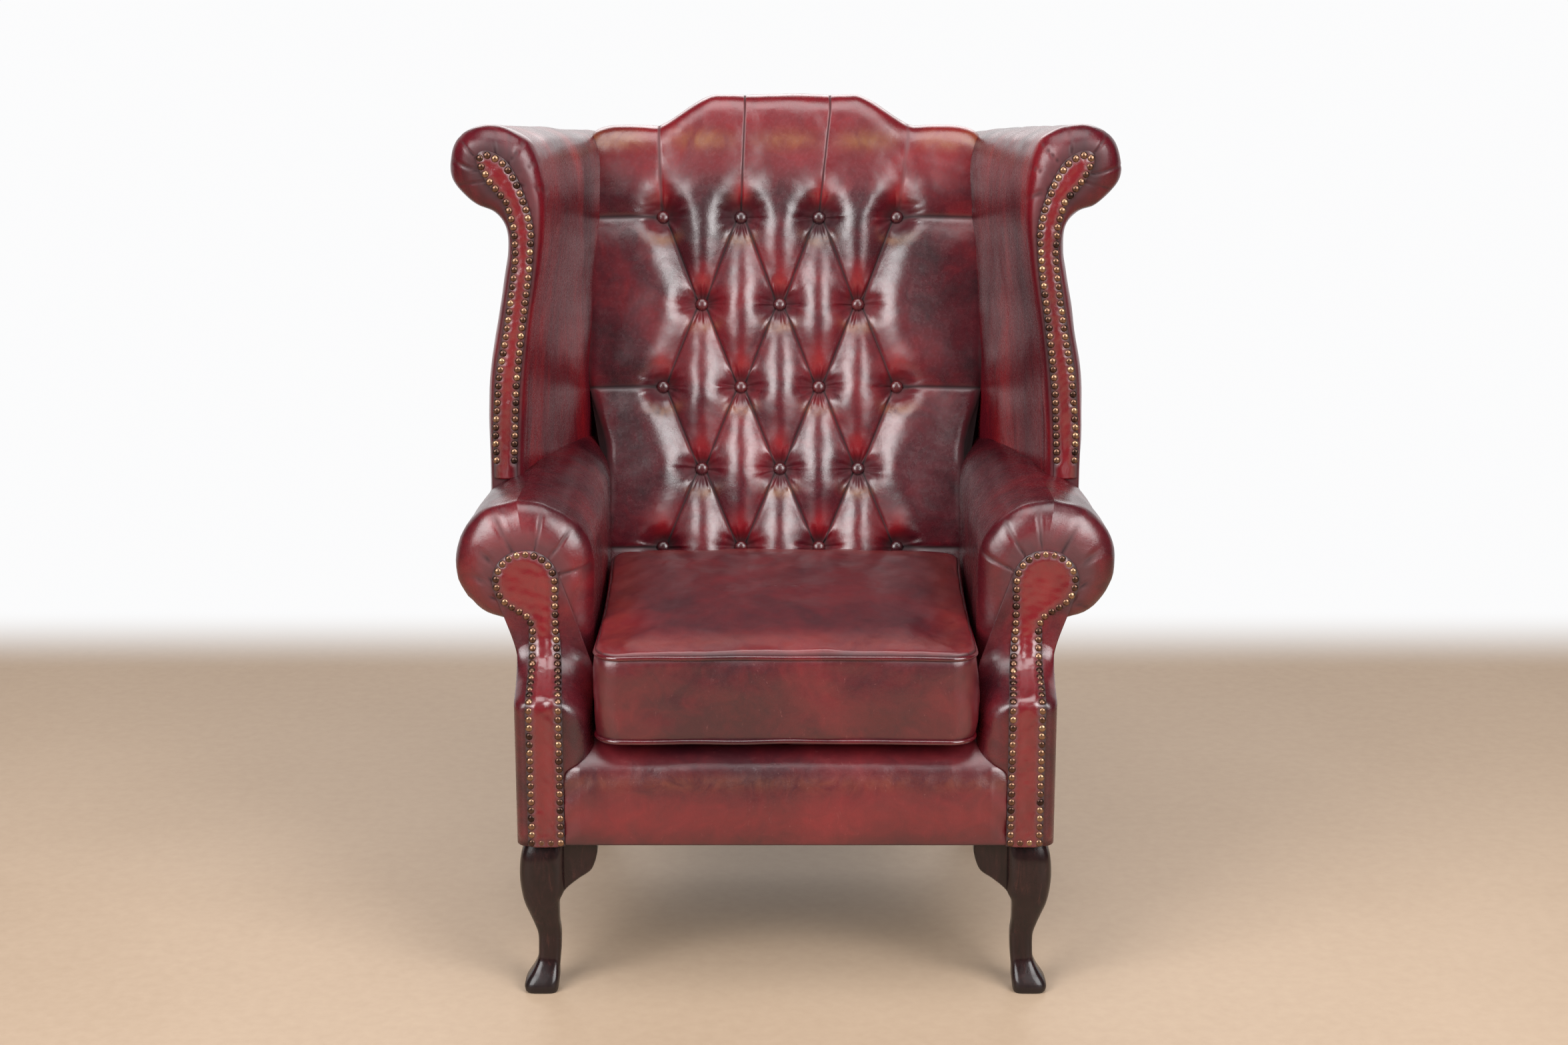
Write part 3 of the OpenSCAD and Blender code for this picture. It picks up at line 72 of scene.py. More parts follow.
class Socket:
    """A value or colour in one of the chair's finishes. Sums on values add Math nodes."""

    def __init__(self, tree, out):
        self.tree = tree
        self.out = out

    def node(self, kind, settings=None, inputs=None, out=0):
        """Any node: its settings or ramp stops first, then the values or links of its sockets."""
        made = self.tree.nodes.new(kind)
        for key, value in (settings or {}).items():
            if key == "stops":
                stops = made.color_ramp.elements
                while len(stops) < len(value):
                    stops.new(0.5)
                for stop, (place, colour) in zip(stops, value):
                    stop.position = place
                    stop.color = (*colour, 1)
            else:
                setattr(made, key, value)
        for key, value in (inputs or {}).items():
            if isinstance(value, Socket):
                self.tree.links.new(value.out, made.inputs[key])
            else:
                made.inputs[key].default_value = value
        return Socket(self.tree, made.outputs[out])

    def math(self, operation, first, second, clamp=False):
        settings = {"operation": operation, "use_clamp": clamp}
        return self.node("ShaderNodeMath", settings, {0: first, 1: second})

    def __add__(self, other):
        return self.math("ADD", self, other)

    def __radd__(self, other):
        return self.math("ADD", other, self)

    def __mul__(self, other):
        return self.math("MULTIPLY", self, other)

    def __rmul__(self, other):
        return self.math("MULTIPLY", other, self)

    def clamped(self):
        """The same value, held between 0 and 1."""
        return self.math("ADD", self, 0.0, clamp=True)

    def between(self, low, high):
        """0 below low, 1 above high, and smooth between them."""
        settings = {"interpolation_type": "SMOOTHSTEP"}
        return self.node("ShaderNodeMapRange", settings, {"Value": self, "From Min": low, "From Max": high})

    def stretched(self, x, y, z):
        """Coordinates that run faster or slower along each axis."""
        return self.node("ShaderNodeMapping", {}, {"Vector": self, "Scale": (x, y, z)})

    def noise(self, scale, detail=3.0, roughness=0.55, distortion=0.0):
        inputs = {"Vector": self, "Scale": scale, "Detail": detail, "Roughness": roughness, "Distortion": distortion}
        return self.node("ShaderNodeTexNoise", {}, inputs, "Fac")

    def cells(self, scale, feature="F1"):
        """Rounded cells: the distance from the middle of each."""
        return self.node("ShaderNodeTexVoronoi", {"feature": feature}, {"Vector": self, "Scale": scale}, "Distance")

    def bands(self, direction, scale):
        """Parallel bands across one axis."""
        settings = {"bands_direction": direction}
        return self.node("ShaderNodeTexWave", settings, {"Vector": self, "Scale": scale}, "Fac")

    def coordinate(self, axis):
        """One of the three coordinates: 0 for x, 1 for y and 2 for z."""
        return self.node("ShaderNodeSeparateXYZ", {}, {0: self}, axis)

    def ramp(self, *stops):
        """Colours at places from 0 to 1, blended between them."""
        return self.node("ShaderNodeValToRGB", {"stops": stops}, {"Fac": self}, "Color")

    def mixed(self, share, other):
        """This colour, turned into another by a share."""
        if not isinstance(other, Socket):
            other = (*other, 1)
        settings = {"data_type": "RGBA"}
        return self.node("ShaderNodeMix", settings, {0: share, 6: self, 7: other}, 2)

    def own(self, attribute):
        """A value that a piece's mesh carries at each point."""
        return self.node("ShaderNodeAttribute", {"attribute_name": attribute}, {}, "Fac")

    def bump(self, height, metres, under=None):
        """A relief of so many metres, on top of another one if there is one under it."""
        inputs = {"Height": height, "Distance": metres, "Strength": 1.0}
        if under is not None:
            inputs["Normal"] = under
        return self.node("ShaderNodeBump", {}, inputs)


def new_finish(name):
    """A material, its shader, and the object coordinates that its pattern is drawn on."""
    material = bpy.data.materials.new(name)
    material.use_nodes = True
    tree = material.node_tree
    where = Socket(tree, tree.nodes.new("ShaderNodeTexCoord").outputs["Object"])
    return material, tree.nodes["Principled BSDF"], where


def give(shader, where, colour=None, roughness=None, normal=None, **plain):
    """Links what varies over the surface, and sets the rest on the shader's own sockets."""
    for key, value in (("Base Color", colour), ("Roughness", roughness), ("Normal", normal)):
        if isinstance(value, Socket):
            where.tree.links.new(value.out, shader.inputs[key])
        elif value is not None:
            shader.inputs[key].default_value = value
    for key, value in plain.items():
        shader.inputs[key.replace("_", " ").title().replace("Ior", "IOR")].default_value = value


def plain_floor():
    """Pale floor that turns white far off and behind the chair, where reflections show it as white too."""
    material, shader, where = new_finish("pale_floor")
    patches = where.noise(1.4, 4)
    dust = where.noise(55, 5)
    colour = (patches * 0.6 + dust * 0.4).ramp((0.3, (0.42, 0.3, 0.205)), (0.7, (0.49, 0.36, 0.255)))
    give(shader, where, colour, 0.6, where.bump(dust, 0.0004))
    tree = where.tree
    ray = where.node("ShaderNodeLightPath", {}, {}, "Is Camera Ray")
    shine = where.node("ShaderNodeLightPath", {}, {}, "Is Glossy Ray")
    back = where.coordinate(1).between(0.95, 1.3)
    far = where.node("ShaderNodeVectorMath", {"operation": "LENGTH"}, {0: where}, "Value").between(2.6, 4.5)
    white = (ray * (back + far).clamped() + shine * back).clamped()
    glow = where.node("ShaderNodeEmission", {}, {"Color": (0.97, 0.97, 0.975, 1), "Strength": 1.0})
    joined = where.node("ShaderNodeMixShader", {}, {0: white, 2: glow})
    tree.links.new(shader.outputs[0], joined.out.node.inputs[1])
    tree.links.new(joined.out, tree.nodes["Material Output"].inputs["Surface"])
    return material


def pale_sweep(finish):
    """Floor and wall in one sheet, with a round cove between them."""
    cove_y, cove_r, half_width = 3.0, 1.6, 9
    line = [(-7, 0), (0, 0), (cove_y, 0)]
    for a in np.linspace(0.1, math.pi / 2, 14):
        line.append((cove_y + cove_r * math.sin(a), cove_r - cove_r * math.cos(a)))
    line.append((cove_y + cove_r, 6.5))
    points = [(x, y, z) for y, z in line for x in (-half_width, half_width)]
    faces = [(2 * i, 2 * i + 1, 2 * i + 3, 2 * i + 2) for i in range(len(line) - 1)]
    mesh = bpy.data.meshes.new("pale_sweep")
    mesh.from_pydata(points, [], faces)
    mesh.shade_smooth()
    sweep = bpy.data.objects.new("pale_sweep", mesh)
    sweep.data.materials.append(finish)
    bpy.context.collection.objects.link(sweep)


pale_sweep(plain_floor())

world = bpy.data.worlds.new("studio")
bpy.context.scene.world = world
world.use_nodes = True
sky = world.node_tree
rays = sky.nodes.new("ShaderNodeLightPath")
white = sky.nodes.new("ShaderNodeBackground")
white.inputs["Strength"].default_value = 1.0
white.inputs["Color"].default_value = (1, 1, 1, 1)
room = sky.nodes["Background"]
room.inputs["Color"].default_value = (0.92, 0.94, 1, 1)
room.inputs["Strength"].default_value = 0.06
seen = sky.nodes.new("ShaderNodeMixShader")
sky.links.new(rays.outputs["Is Camera Ray"], seen.inputs["Fac"])
sky.links.new(room.outputs[0], seen.inputs[1])
sky.links.new(white.outputs[0], seen.inputs[2])
sky.links.new(seen.outputs[0], sky.nodes["World Output"].inputs["Surface"])


# The hardwood frame: planed boards of pale hardwood, glued and dowelled, with glue blocks in its corners, and
# plywood boards in the wings. All of it is covered by the upholstery.
def board_wood(name, light, dark, along=(9, 9, 1.3)):
    """Planed wood with its grain along one direction."""
    material, shader, where = new_finish(name)
    grain = where.stretched(*along).noise(14, 6, 0.6, 1.4)
    pores = where.stretched(60, 60, 5).noise(30, 3)
    colour = (grain * 0.75 + pores * 0.25).ramp((0.32, dark), (0.66, light))
    give(shader, where, colour, 0.5 + 0.2 * pores, where.bump(pores, 0.0003))
    return material


def dress(finish, *names):
    """Gives CAD nodes that stay as they are a material of their own."""
    for name in names:
        slots = nodes[name].data.materials
        slots.clear()
        slots.append(finish)


upright_hardwood = board_wood("upright_hardwood", (0.62, 0.44, 0.27), (0.44, 0.28, 0.15))
level_hardwood = board_wood("level_hardwood", (0.62, 0.44, 0.27), (0.44, 0.28, 0.15), (1.3, 9, 9))
side_hardwood = board_wood("side_hardwood", (0.6, 0.43, 0.27), (0.43, 0.28, 0.15), (9, 1.3, 9))
wing_plywood = board_wood("wing_plywood", (0.68, 0.52, 0.35), (0.5, 0.35, 0.21))
dress(upright_hardwood, "left_arm_stump", "right_arm_stump", "left_back_post", "right_back_post")
dress(level_hardwood, "front_rail", "back_rail", "crest_rail", "lower_back_rail")
dress(side_hardwood, "left_side_rail", "right_side_rail", "left_arm_rail", "right_arm_rail", "corner_blocks")
dress(wing_plywood, "left_wing_board", "right_wing_board")


# The seat suspension: sinuous steel springs in clips on the rails, a felt pad over them, deck foam, a deck cloth,
# and a thin black cloth stapled under the frame. The back has jute webbing with foam in front of it.
def drawn_steel():
    material, shader, where = new_finish("drawn_steel")
    tarnish = where.noise(60, 4)
    colour = tarnish.ramp((0.3, (0.32, 0.31, 0.3)), (0.7, (0.5, 0.49, 0.48)))
    give(shader, where, colour, 0.3 + 0.25 * tarnish, metallic=1.0)
    return material


def woven(name, light, dark, thread):
    """Plain cloth: two crossing sets of threads, a given number of metres apart."""
    material, shader, where = new_finish(name)
    scale = 1 / thread / 20 * math.pi
    weave = where.bands("X", scale) * 0.5 + where.bands("Y", scale) * 0.5
    fade = where.noise(18, 4)
    colour = (weave * 0.6 + fade * 0.4).ramp((0.25, dark), (0.75, light))
    give(shader, where, colour, 0.85, where.bump(weave, 0.0004))
    return material


def loose_fill(name, light, dark, size):
    """Foam or felt: an open, slightly crumbled surface."""
    material, shader, where = new_finish(name)
    pores = where.cells(1 / size)
    stain = where.noise(9, 4)
    colour = (pores * 0.5 + stain * 0.5).ramp((0.2, dark), (0.7, light))
    give(shader, where, colour, 0.9, where.bump(pores, size * 0.3))
    return material


dress(drawn_steel(), "seat_springs", "spring_clips", "leg_bolts")
dress(woven("deck_cloth", (0.17, 0.035, 0.04), (0.09, 0.02, 0.022), 0.0012), "seat_deck")
dress(woven("under_cloth", (0.035, 0.034, 0.036), (0.015, 0.015, 0.016), 0.001), "dust_cover")
dress(woven("jute_webbing", (0.5, 0.39, 0.24), (0.3, 0.22, 0.12), 0.0022), "back_webbing")
dress(loose_fill("grey_felt", (0.4, 0.39, 0.38), (0.22, 0.22, 0.23), 0.0025), "seat_insulator")
dress(loose_fill("cushion_foam", (0.82, 0.72, 0.46), (0.62, 0.52, 0.3), 0.0012),
      "deck_foam", "back_foam", "cushion_foam", "left_arm_foam", "right_arm_foam")


# The leather: glossy, hand-rubbed oxblood hide. It is mottled from near black to red, with a fine grain and tiny
# stretch lines that catch the light, and shade is painted darker into every fold.
def oxblood(name, dark, middle, bright, gloss=0.21, streak=(1, 1, 1), coat=0.0, rub=0.0, shine=0.85):
    """A hide finish. Its pieces carry how much shade is painted on them in folds, and how red and how golden they are
    at each point.

    Gloss is its roughness where it is clean, streak stretches its mottling, coat is varnish, rub is how far its
    scratches show, and shine is how much it reflects.
    """
    material, shader, where = new_finish(name)
    drawn = where.stretched(*streak)
    clouds = drawn.noise(6.5, 4, 0.55, 0.7)
    smears = drawn.noise(26, 6, 0.66, 1.6)
    flecks = where.noise(170, 3, 0.6)
    tone = clouds * 0.66 + smears * 0.3 + flecks * 0.04
    colour = tone.ramp((0.38, dark), (0.5, middle), (0.63, bright))
    fold = where.own("fold")
    red = where.own("red")
    gold = where.own("gold")
    colour = colour.mixed((red * (0.5 + 0.5 * smears)).clamped(), (0.3, 0.01, 0.014))
    colour = colour.mixed((gold * smears.between(0.25, 0.65) * 0.6).clamped(), (0.28, 0.14, 0.045))
    # Painted shade: where a piece's mark is high, its colour is darkened towards near black.
    colour = colour.mixed((fold * 0.9).clamped(), (0.01, 0.0015, 0.0025))
    grain = where.cells(780, "F1")
    pebble = where.cells(330, "SMOOTH_F1")
    lines = where.stretched(1, 1, 2.6).noise(330, 3, 0.6, 1.2)
    scuff = where.stretched(2.5, 2.5, 1).noise(46, 5, 0.7, 2.2)
    low = where.noise(34, 3, 0.5, 0.4)
    under = where.bump(low, 0.0006)
    under = where.bump(lines, 0.0001, under)
    normal = where.bump(grain * 0.6 + pebble * 0.4, 0.00007, under)
    scratches = scuff.between(0.62, 0.78)
    if rub:
        colour = colour.mixed(scratches * rub, (0.46, 0.17, 0.15))
    roughness = gloss + 0.12 * flecks + 0.14 * scratches + 0.7 * fold
    give(shader, where, colour, roughness, normal, coat_weight=coat, coat_roughness=0.16, specular_ior_level=shine)
    return material


back_leather = oxblood("back_leather", (0.032, 0.003, 0.006), (0.07, 0.004, 0.009), (0.14, 0.006, 0.011))
arm_leather = oxblood("arm_leather", (0.03, 0.003, 0.006), (0.065, 0.005, 0.009), (0.125, 0.007, 0.011), shine=0.7)
wing_leather = oxblood("wing_leather", (0.048, 0.003, 0.007), (0.1, 0.005, 0.01), (0.21, 0.008, 0.012),
                       streak=(1, 1, 0.25), shine=0.5)
panel_leather = oxblood("panel_leather", (0.03, 0.006, 0.008), (0.07, 0.006, 0.01), (0.13, 0.009, 0.013), 0.24)
# The buttons' finish is a darker copy of the back's: painted shade for buttons sunk deep in their hollows.
shaded_button_leather = oxblood("shaded_button_leather", (0.02, 0.003, 0.005), (0.05, 0.005, 0.008), (0.1, 0.008, 0.01))
facing_leather = oxblood("facing_leather", (0.038, 0.002, 0.005), (0.075, 0.003, 0.007), (0.115, 0.005, 0.009), 0.16,
                         coat=0.3)
cushion_leather = oxblood("cushion_leather", (0.04, 0.004, 0.008), (0.078, 0.006, 0.01), (0.125, 0.009, 0.013), 0.26,
                          rub=0.35)


# The inside back: one hide over deep foam, pulled through at eighteen covered buttons. Folded pleats run from button
# to button, over the crest, out to the wings and down behind the cushion.

# Sizes are in metres. Depths count from the front border, and skin() shifts them to the middle of the chair
front_to_middle = 0.38405
frame_d = 0.6
rake = math.radians(16)
slope = (math.sin(rake), math.cos(rake))
welt_top = 0.471
deck = 0.345
leg_top = 0.212
outside_rake = math.radians(11.8)
crest_z = 1.093
crest_rise = 0.043
crest_corner = 0.018
shoulder_z = crest_z - crest_rise
back_half = 0.2865
arms_half = 0.258
tuft_pitch = 0.11298
tuft_shift = -0.008
tuft_h = 0.478
tuft_depth = 0.034
crease_gap = 0.0045
row_v = np.array([0, 0.238, 0.486, 0.736, 1]) * tuft_h
row_u = [
    [(k - (1.5 if r % 2 == 0 else 1)) * tuft_pitch + tuft_shift for k in range(4 if r % 2 == 0 else 3)]
    for r in range(5)
]
crest_depth = 0.1048
crest_round = 0.02515
tuck_z = 1.0027


def unit(t):
    """Held between 0 and 1."""
    return np.clip(t, 0, 1)


def ease(t):
    """0 up to 0, 1 from 1, and a smooth S between them."""
    t = unit(t)
    return t * t * (3 - 2 * t)


def hump(far, width):
    """A smooth hump: 1 at no distance, and fading out over a width."""
    return np.exp(-(far / width) ** 2)


def bunched(n):
    """Places from 0 to 1 in n steps, closer together at both ends."""
    return (1 - np.cos(np.pi * np.arange(n + 1) / n)) / 2


def outside_y(z):
    """Distance of the outside back from the front border, at a height."""
    return frame_d + (z - leg_top) * math.tan(outside_rake)


def smooth_line(points, parts, closed=False):
    """Rows of points on a smooth line through the given ones, with so many parts to a step."""
    p = np.asarray(points, float)
    ahead, behind = np.roll(p, -1, 0), np.roll(p, 1, 0)
    if not closed:
        ahead[-1], behind[0] = p[-1], p[0]
    step = np.linalg.norm(ahead - p, axis=-1, keepdims=True)
    before = np.linalg.norm(p - behind, axis=-1, keepdims=True)
    lean = (ahead - behind) / np.maximum(step + before, 1e-9)
    last = len(p) if closed else len(p) - 1
    start, end = p[:last], ahead[:last]
    leave, arrive = lean[:last] * step[:last], np.roll(lean, -1, 0)[:last] * step[:last]
    rows = [
        (2 * t ** 3 - 3 * t ** 2 + 1) * start + (t ** 3 - 2 * t ** 2 + t) * leave
        + (3 * t ** 2 - 2 * t ** 3) * end + (t ** 3 - t ** 2) * arrive
        for t in np.arange(parts) / parts
    ]
    line = np.stack(rows, 1).reshape(-1, *p.shape[1:])
    return line if closed else np.concatenate([line, p[-1:]])


def ripple(points, length, height, seed):
    """Soft irregular waves of about a given length and height."""
    chance = np.random.default_rng(seed)
    total = np.zeros(points.shape[:-1])
    for _ in range(9):
        way = chance.normal(size=3)
        way *= 2 * math.pi / length * chance.uniform(0.6, 1.5) / np.linalg.norm(way)
        total += np.sin(points @ way + chance.uniform(0, 6.28))
    return total / 4.5 * height


def carry(mesh, key, values):
    """Gives a mesh a value at each point, for its finish to read."""
    values = np.asarray(values, float).reshape(-1).astype(np.float32)
    mesh.attributes.new(key, "FLOAT", "POINT").data.foreach_set("value", values)


def pick(*pieces):
    """Selects these pieces alone, the first one active."""
    bpy.ops.object.select_all(action="DESELECT")
    for piece in pieces:
        piece.select_set(True)
    bpy.context.view_layer.objects.active = pieces[0]


def skin(name, rings, finish, marks=None, capped=True):
    """A shell through a row of closed rings, each end closed by one flat face. Marks are values for the finish."""
    rings = np.asarray(rings, float)
    m, n = rings.shape[:2]
    points = rings.reshape(-1, 3).copy()
    points[:, 1] -= front_to_middle
    i, j = np.meshgrid(np.arange(m - 1), np.arange(n), indexing="ij")
    k = (j + 1) % n
    faces = np.stack([i * n + j, i * n + k, (i + 1) * n + k, (i + 1) * n + j], -1).reshape(-1, 4).tolist()
    if capped:
        faces += [list(range(n))[::-1], list(range((m - 1) * n, m * n))]
    mesh = bpy.data.meshes.new(name)
    mesh.from_pydata(points.tolist(), [], faces)
    for key, values in (marks or {}).items():
        carry(mesh, key, values)
    mesh.materials.append(finish)
    piece = bpy.data.objects.new(name, mesh)
    bpy.context.collection.objects.link(piece)
    pick(piece)
    bpy.ops.object.mode_set(mode="EDIT")
    bpy.ops.mesh.select_all(action="SELECT")
    bpy.ops.mesh.remove_doubles(threshold=0.00002)
    bpy.ops.mesh.normals_make_consistent(inside=False)
    bpy.ops.object.mode_set(mode="OBJECT")
    piece.select_set(False)
    mesh.shade_smooth()
    return piece


def place_on_back(u, v, w):
    """Point of the inside back: u across, v up along it, w out of it."""
    u, v, w = np.broadcast_arrays(u, v, w)
    return np.stack([u, 0.5 + v * slope[0] - w * slope[1], welt_top + v * slope[1] + w * slope[0]], -1)


def crease_lines(v):
    """Places across the back of the six creases at a height along it. They meet a button at its two sides."""
    four, three = np.array(row_u[0]), np.array(row_u[1])
    wide = (np.repeat(four, 2) + np.tile([-crease_gap, crease_gap], 4))[1:-1]
    narrow = np.repeat(three, 2) + np.tile([-crease_gap, crease_gap], 3)
    if v <= 0 or v >= tuft_h:
        return wide
    r = min(3, int(np.searchsorted(row_v, v, "right")) - 1)
    t = (v - row_v[r]) / (row_v[r + 1] - row_v[r])
    return wide + (narrow - wide) * (t if r % 2 == 0 else 1 - t)


def crest_at(u):
    """Height of the crest: flat in the middle, with an S down to each shoulder and a rounded outer corner."""
    share = np.abs(u) / back_half
    step = unit((share - 0.36) / 0.29)
    corner = unit((share - 0.8) / 0.2) ** 3
    return shoulder_z + crest_rise * (1 - 0.5 * step - 0.5 * ease(step)) - crest_corner * corner


def back_side(v):
    """Half width of the inside back at a height along it: between the arms, then between the wings."""
    z = welt_top + v * slope[1]
    return arms_half + (back_half - arms_half) * ease((z - 0.6) / 0.12)


back_low_v = -0.134
back_high_v = (crest_z - welt_top) / slope[1]
side_pleat = 0.42
# Each pleat: across and up of its one end, across and up of its other end, and how deep it is
pleat_lines = [
    (row_u[r][a] + way * crease_gap, row_v[r], row_u[q][a + (way > 0)] - way * crease_gap, row_v[q], 1.0)
    for r in (1, 3) for q in (r - 1, r + 1) for a in range(3) for way in (-1, 1)
]
pleat_lines += [(u, row_v[4], u, 2.0, 1.0) for u in row_u[4]] + [(u, row_v[0], u, -2.0, 0.9) for u in row_u[0]]
pleat_lines += [
    (row_u[r][0 if side < 0 else 3], row_v[r], side, row_v[r] - 0.02, side_pleat)
    for r in (0, 2, 4) for side in (-1, 1)
]


pillow_steps, edge_steps, row_steps, low_steps, tuck_steps = 26, 22, 40, 14, 13
pillow_h, pillow_slope = 0.0155, 0.05
groove_h, groove_w = 0.0012, 0.0008
lip_h, bowl_h, bowl_r = 0.0003, 0.0175, 0.0165
pucker_h, edge_h, hide_out = 0.0011, 0.006, 0.003


def pillows(u, v):
    """How far the hide lies below the pillows' tops, how much shade is painted on it in creases and round buttons,
    and how red and how golden it is.
    """
    keep, nearest = np.ones_like(u), np.full_like(u, 9.0)
    fade = 1 - 0.88 * ease((v - tuft_h) / 0.085)
    for a, b, c, d, weight in pleat_lines:
        along = np.array([c - a, d - b])
        t = unit(((u - a) * along[0] + (v - b) * along[1]) / (along @ along))
        far = np.hypot(u - a - t * along[0], v - b - t * along[1])
        nearest = np.minimum(nearest, far * (0.5 if weight == side_pleat else 1))
        keep *= 1 - weight * fade * unit(1 - far / pillow_slope) ** 2
    bowl, red, gold, pull = (np.zeros_like(u) for _ in range(4))
    closest = np.full_like(u, 9.0)
    for r in range(5):
        for k, b in enumerate(row_u[r]):
            far = np.hypot(u - b, v - row_v[r])
            closest = np.minimum(closest, far)
            turn = np.arctan2(v - row_v[r], u - b)
            bowl += hump(far, bowl_r)
            puckers = np.sin(11 * turn + 1.7 * k + r) + 0.7 * np.sin(17 * turn + 2.3 * r - k)
            pull += (puckers + 0.5 * np.sin(26 * turn + k)) * hump(far - 0.019, 0.011)
            red += hump(v - row_v[r] - 0.034, 0.02) * hump(u - b, 0.013)
            gold += hump(far - 0.036, 0.007) * unit(-np.sin(turn)) ** 4
    groove = hump(nearest, groove_w)
    lip = hump(nearest - 0.0034, 0.0022) * unit(closest / 0.02)
    edge = unit(1 - (back_side(np.clip(v, back_low_v, back_high_v)) - np.abs(u)) / 0.012)
    depth = pillow_h * (1 - keep) + groove_h * groove - lip_h * lip * fade + bowl_h * bowl + edge_h * edge ** 2
    depth -= pucker_h * pull
    # Painted shade: dark along each crease, in the bowl round each button and at the back's sides.
    fold = unit(0.85 * hump(nearest, 0.0013) + 0.85 * hump(closest, 0.0145))
    fold = np.maximum(fold, 0.8 * edge ** 3)
    crown = hump(v - (back_high_v - 0.06), 0.013) * unit(nearest / 0.05)
    red += 0.5 * unit((v - tuft_h - 0.03) / 0.05)
    return depth, fold, unit(red * 0.8), unit(gold * 0.8 + 0.8 * crown)


def inside_back():
    """Columns of points up the back, sunk by the pillows' depths, with a lining behind them."""
    inner, outer = bunched(pillow_steps), bunched(edge_steps)
    levels = [back_low_v * (1 - np.sin(np.pi / 2 * np.arange(low_steps) / low_steps))]
    for r in range(4):
        levels.append(row_v[r] + (row_v[r + 1] - row_v[r]) * bunched(row_steps)[:-1])
    levels = np.concatenate(levels)
    rows = []
    for v in np.append(levels, tuft_h):
        side = back_side(v)
        cuts = [-side, *crease_lines(v), side]
        row = [
            cuts[g] + (cuts[g + 1] - cuts[g]) * (outer if g in (0, 6) else inner)[:-1]
            for g in range(7)
        ]
        rows.append(np.append(np.concatenate(row), side))
    across = rows.pop()
    u = np.array(rows)
    v = np.repeat(levels[:, None], u.shape[1], 1)
    front = place_on_back(u, v, 0)
    out = np.broadcast_to(np.array([0, -slope[1], slope[0]]), front.shape)
    # Above the top buttons each column runs up the pillows, over the crest and down behind it
    side = back_side(tuft_h)
    lean = np.interp(across, [-side, *row_u[4], side], [0, -0.004, 0.006, 0.016, 0.014, 0])
    leaning = across + lean
    top = (crest_at(leaning) - welt_top + crest_round * slope[0]) / slope[1]
    climb = top - crest_round - tuft_h
    guide = [place_on_back(across + lean * s, tuft_h + climb * s, 0) for s in (0, 0.25, 0.5, 0.75, 1)]
    guide += [
        place_on_back(leaning, top - drop * crest_round, w)
        for drop, w in (
            (0.28, -0.3 * crest_round), (0, -crest_round), (0, -2.8 * crest_round),
            (0.4, 0.35 * crest_round - crest_depth),
        )
    ]
    for z in (crest_at(leaning) - crest_round, 1.03, tuck_z):
        guide.append(np.stack(np.broadcast_arrays(leaning, outside_y(z), z), -1))
    over = smooth_line(np.array(guide), 12)
    run = np.concatenate([np.zeros((1, len(across))), np.cumsum(np.linalg.norm(np.diff(over, axis=0), axis=-1), 0)])
    way = np.gradient(over, axis=0)
    lift = np.stack([0 * way[..., 0], -way[..., 2], way[..., 1]], -1)
    lift /= np.maximum(np.linalg.norm(lift, axis=-1, keepdims=True), 1e-9)
    grid = np.concatenate([front, over])
    out = np.concatenate([out, lift])
    u = np.concatenate([u, np.broadcast_to(across, run.shape)])
    v = np.concatenate([v, tuft_h + run])
    depth, fold, red, gold = pillows(u, v)
    depth[-tuck_steps:] *= np.linspace(1, 0.1, tuck_steps)[:, None]
    wave = ripple(grid, 0.05, 0.0007, 3) + ripple(grid, 0.02, 0.00022, 4)
    grid = grid + out * (hide_out + wave - depth)[..., None]
    # Behind the pillows it is closed by a flat lining against the foam
    lining = ((tuck_z - welt_top) / slope[1], -0.042), (0.2, -0.046), (back_low_v, -0.046)
    grid = np.concatenate([grid, np.array([place_on_back(across, v, w) for v, w in lining])])
    none = np.zeros((3, grid.shape[1]))
    marks = {key: np.concatenate([value, none]).T for key, value in (("fold", fold), ("red", red), ("gold", gold))}
    return skin("inside_back", grid.transpose(1, 0, 2), back_leather, marks)


back = inside_back()
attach(back, "chair")
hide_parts("tufted_back")


# The buttons: metal shells covered in discs of the same leather. Each is tied through the foam with twine, deep
# enough to draw the hide down round it, and none sits quite straight. Their finish is a darker copy of the back's,
# which paints the shade that they sit in.
def dome(sides, radius, steps, poke=None):
    """A circle drawn up in steps of rise and share of width, its back to the origin, with a flat or poked top."""
    bpy.ops.mesh.primitive_circle_add(vertices=sides, radius=radius, fill_type="NOTHING")
    made = bpy.context.object
    bpy.ops.object.mode_set(mode="EDIT")
    bpy.ops.mesh.select_all(action="SELECT")
    for rise, share in steps:
        bpy.ops.mesh.extrude_region_move(TRANSFORM_OT_translate={"value": (0, 0, rise)})
        bpy.ops.transform.resize(value=(share, share, 1))
    bpy.ops.mesh.edge_face_add()
    if poke:
        bpy.ops.mesh.poke(offset=poke)
    bpy.ops.mesh.select_all(action="SELECT")
    bpy.ops.mesh.normals_make_consistent(inside=False)
    bpy.ops.object.mode_set(mode="OBJECT")
    return made


def copies(name, model, places, finish, marks=None):
    """One piece of many like ones, each with its own share of the mesh, turned and placed by a matrix."""
    points = np.array([v.co for v in model.data.vertices])
    faces = [list(p.vertices) for p in model.data.polygons]
    spread = [np.array(m.to_3x3()) @ points.T + np.array(m.translation)[:, None] for m in places]
    mesh = bpy.data.meshes.new(name)
    mesh.from_pydata(
        np.concatenate([s.T for s in spread]).tolist(), [],
        [[q + i * len(points) for q in f] for i in range(len(places)) for f in faces],
    )
    for key, values in (marks or {}).items():
        carry(mesh, key, np.repeat(values, len(points)))
    mesh.materials.append(finish)
    mesh.shade_smooth()
    piece = bpy.data.objects.new(name, mesh)
    bpy.context.collection.objects.link(piece)
    return piece


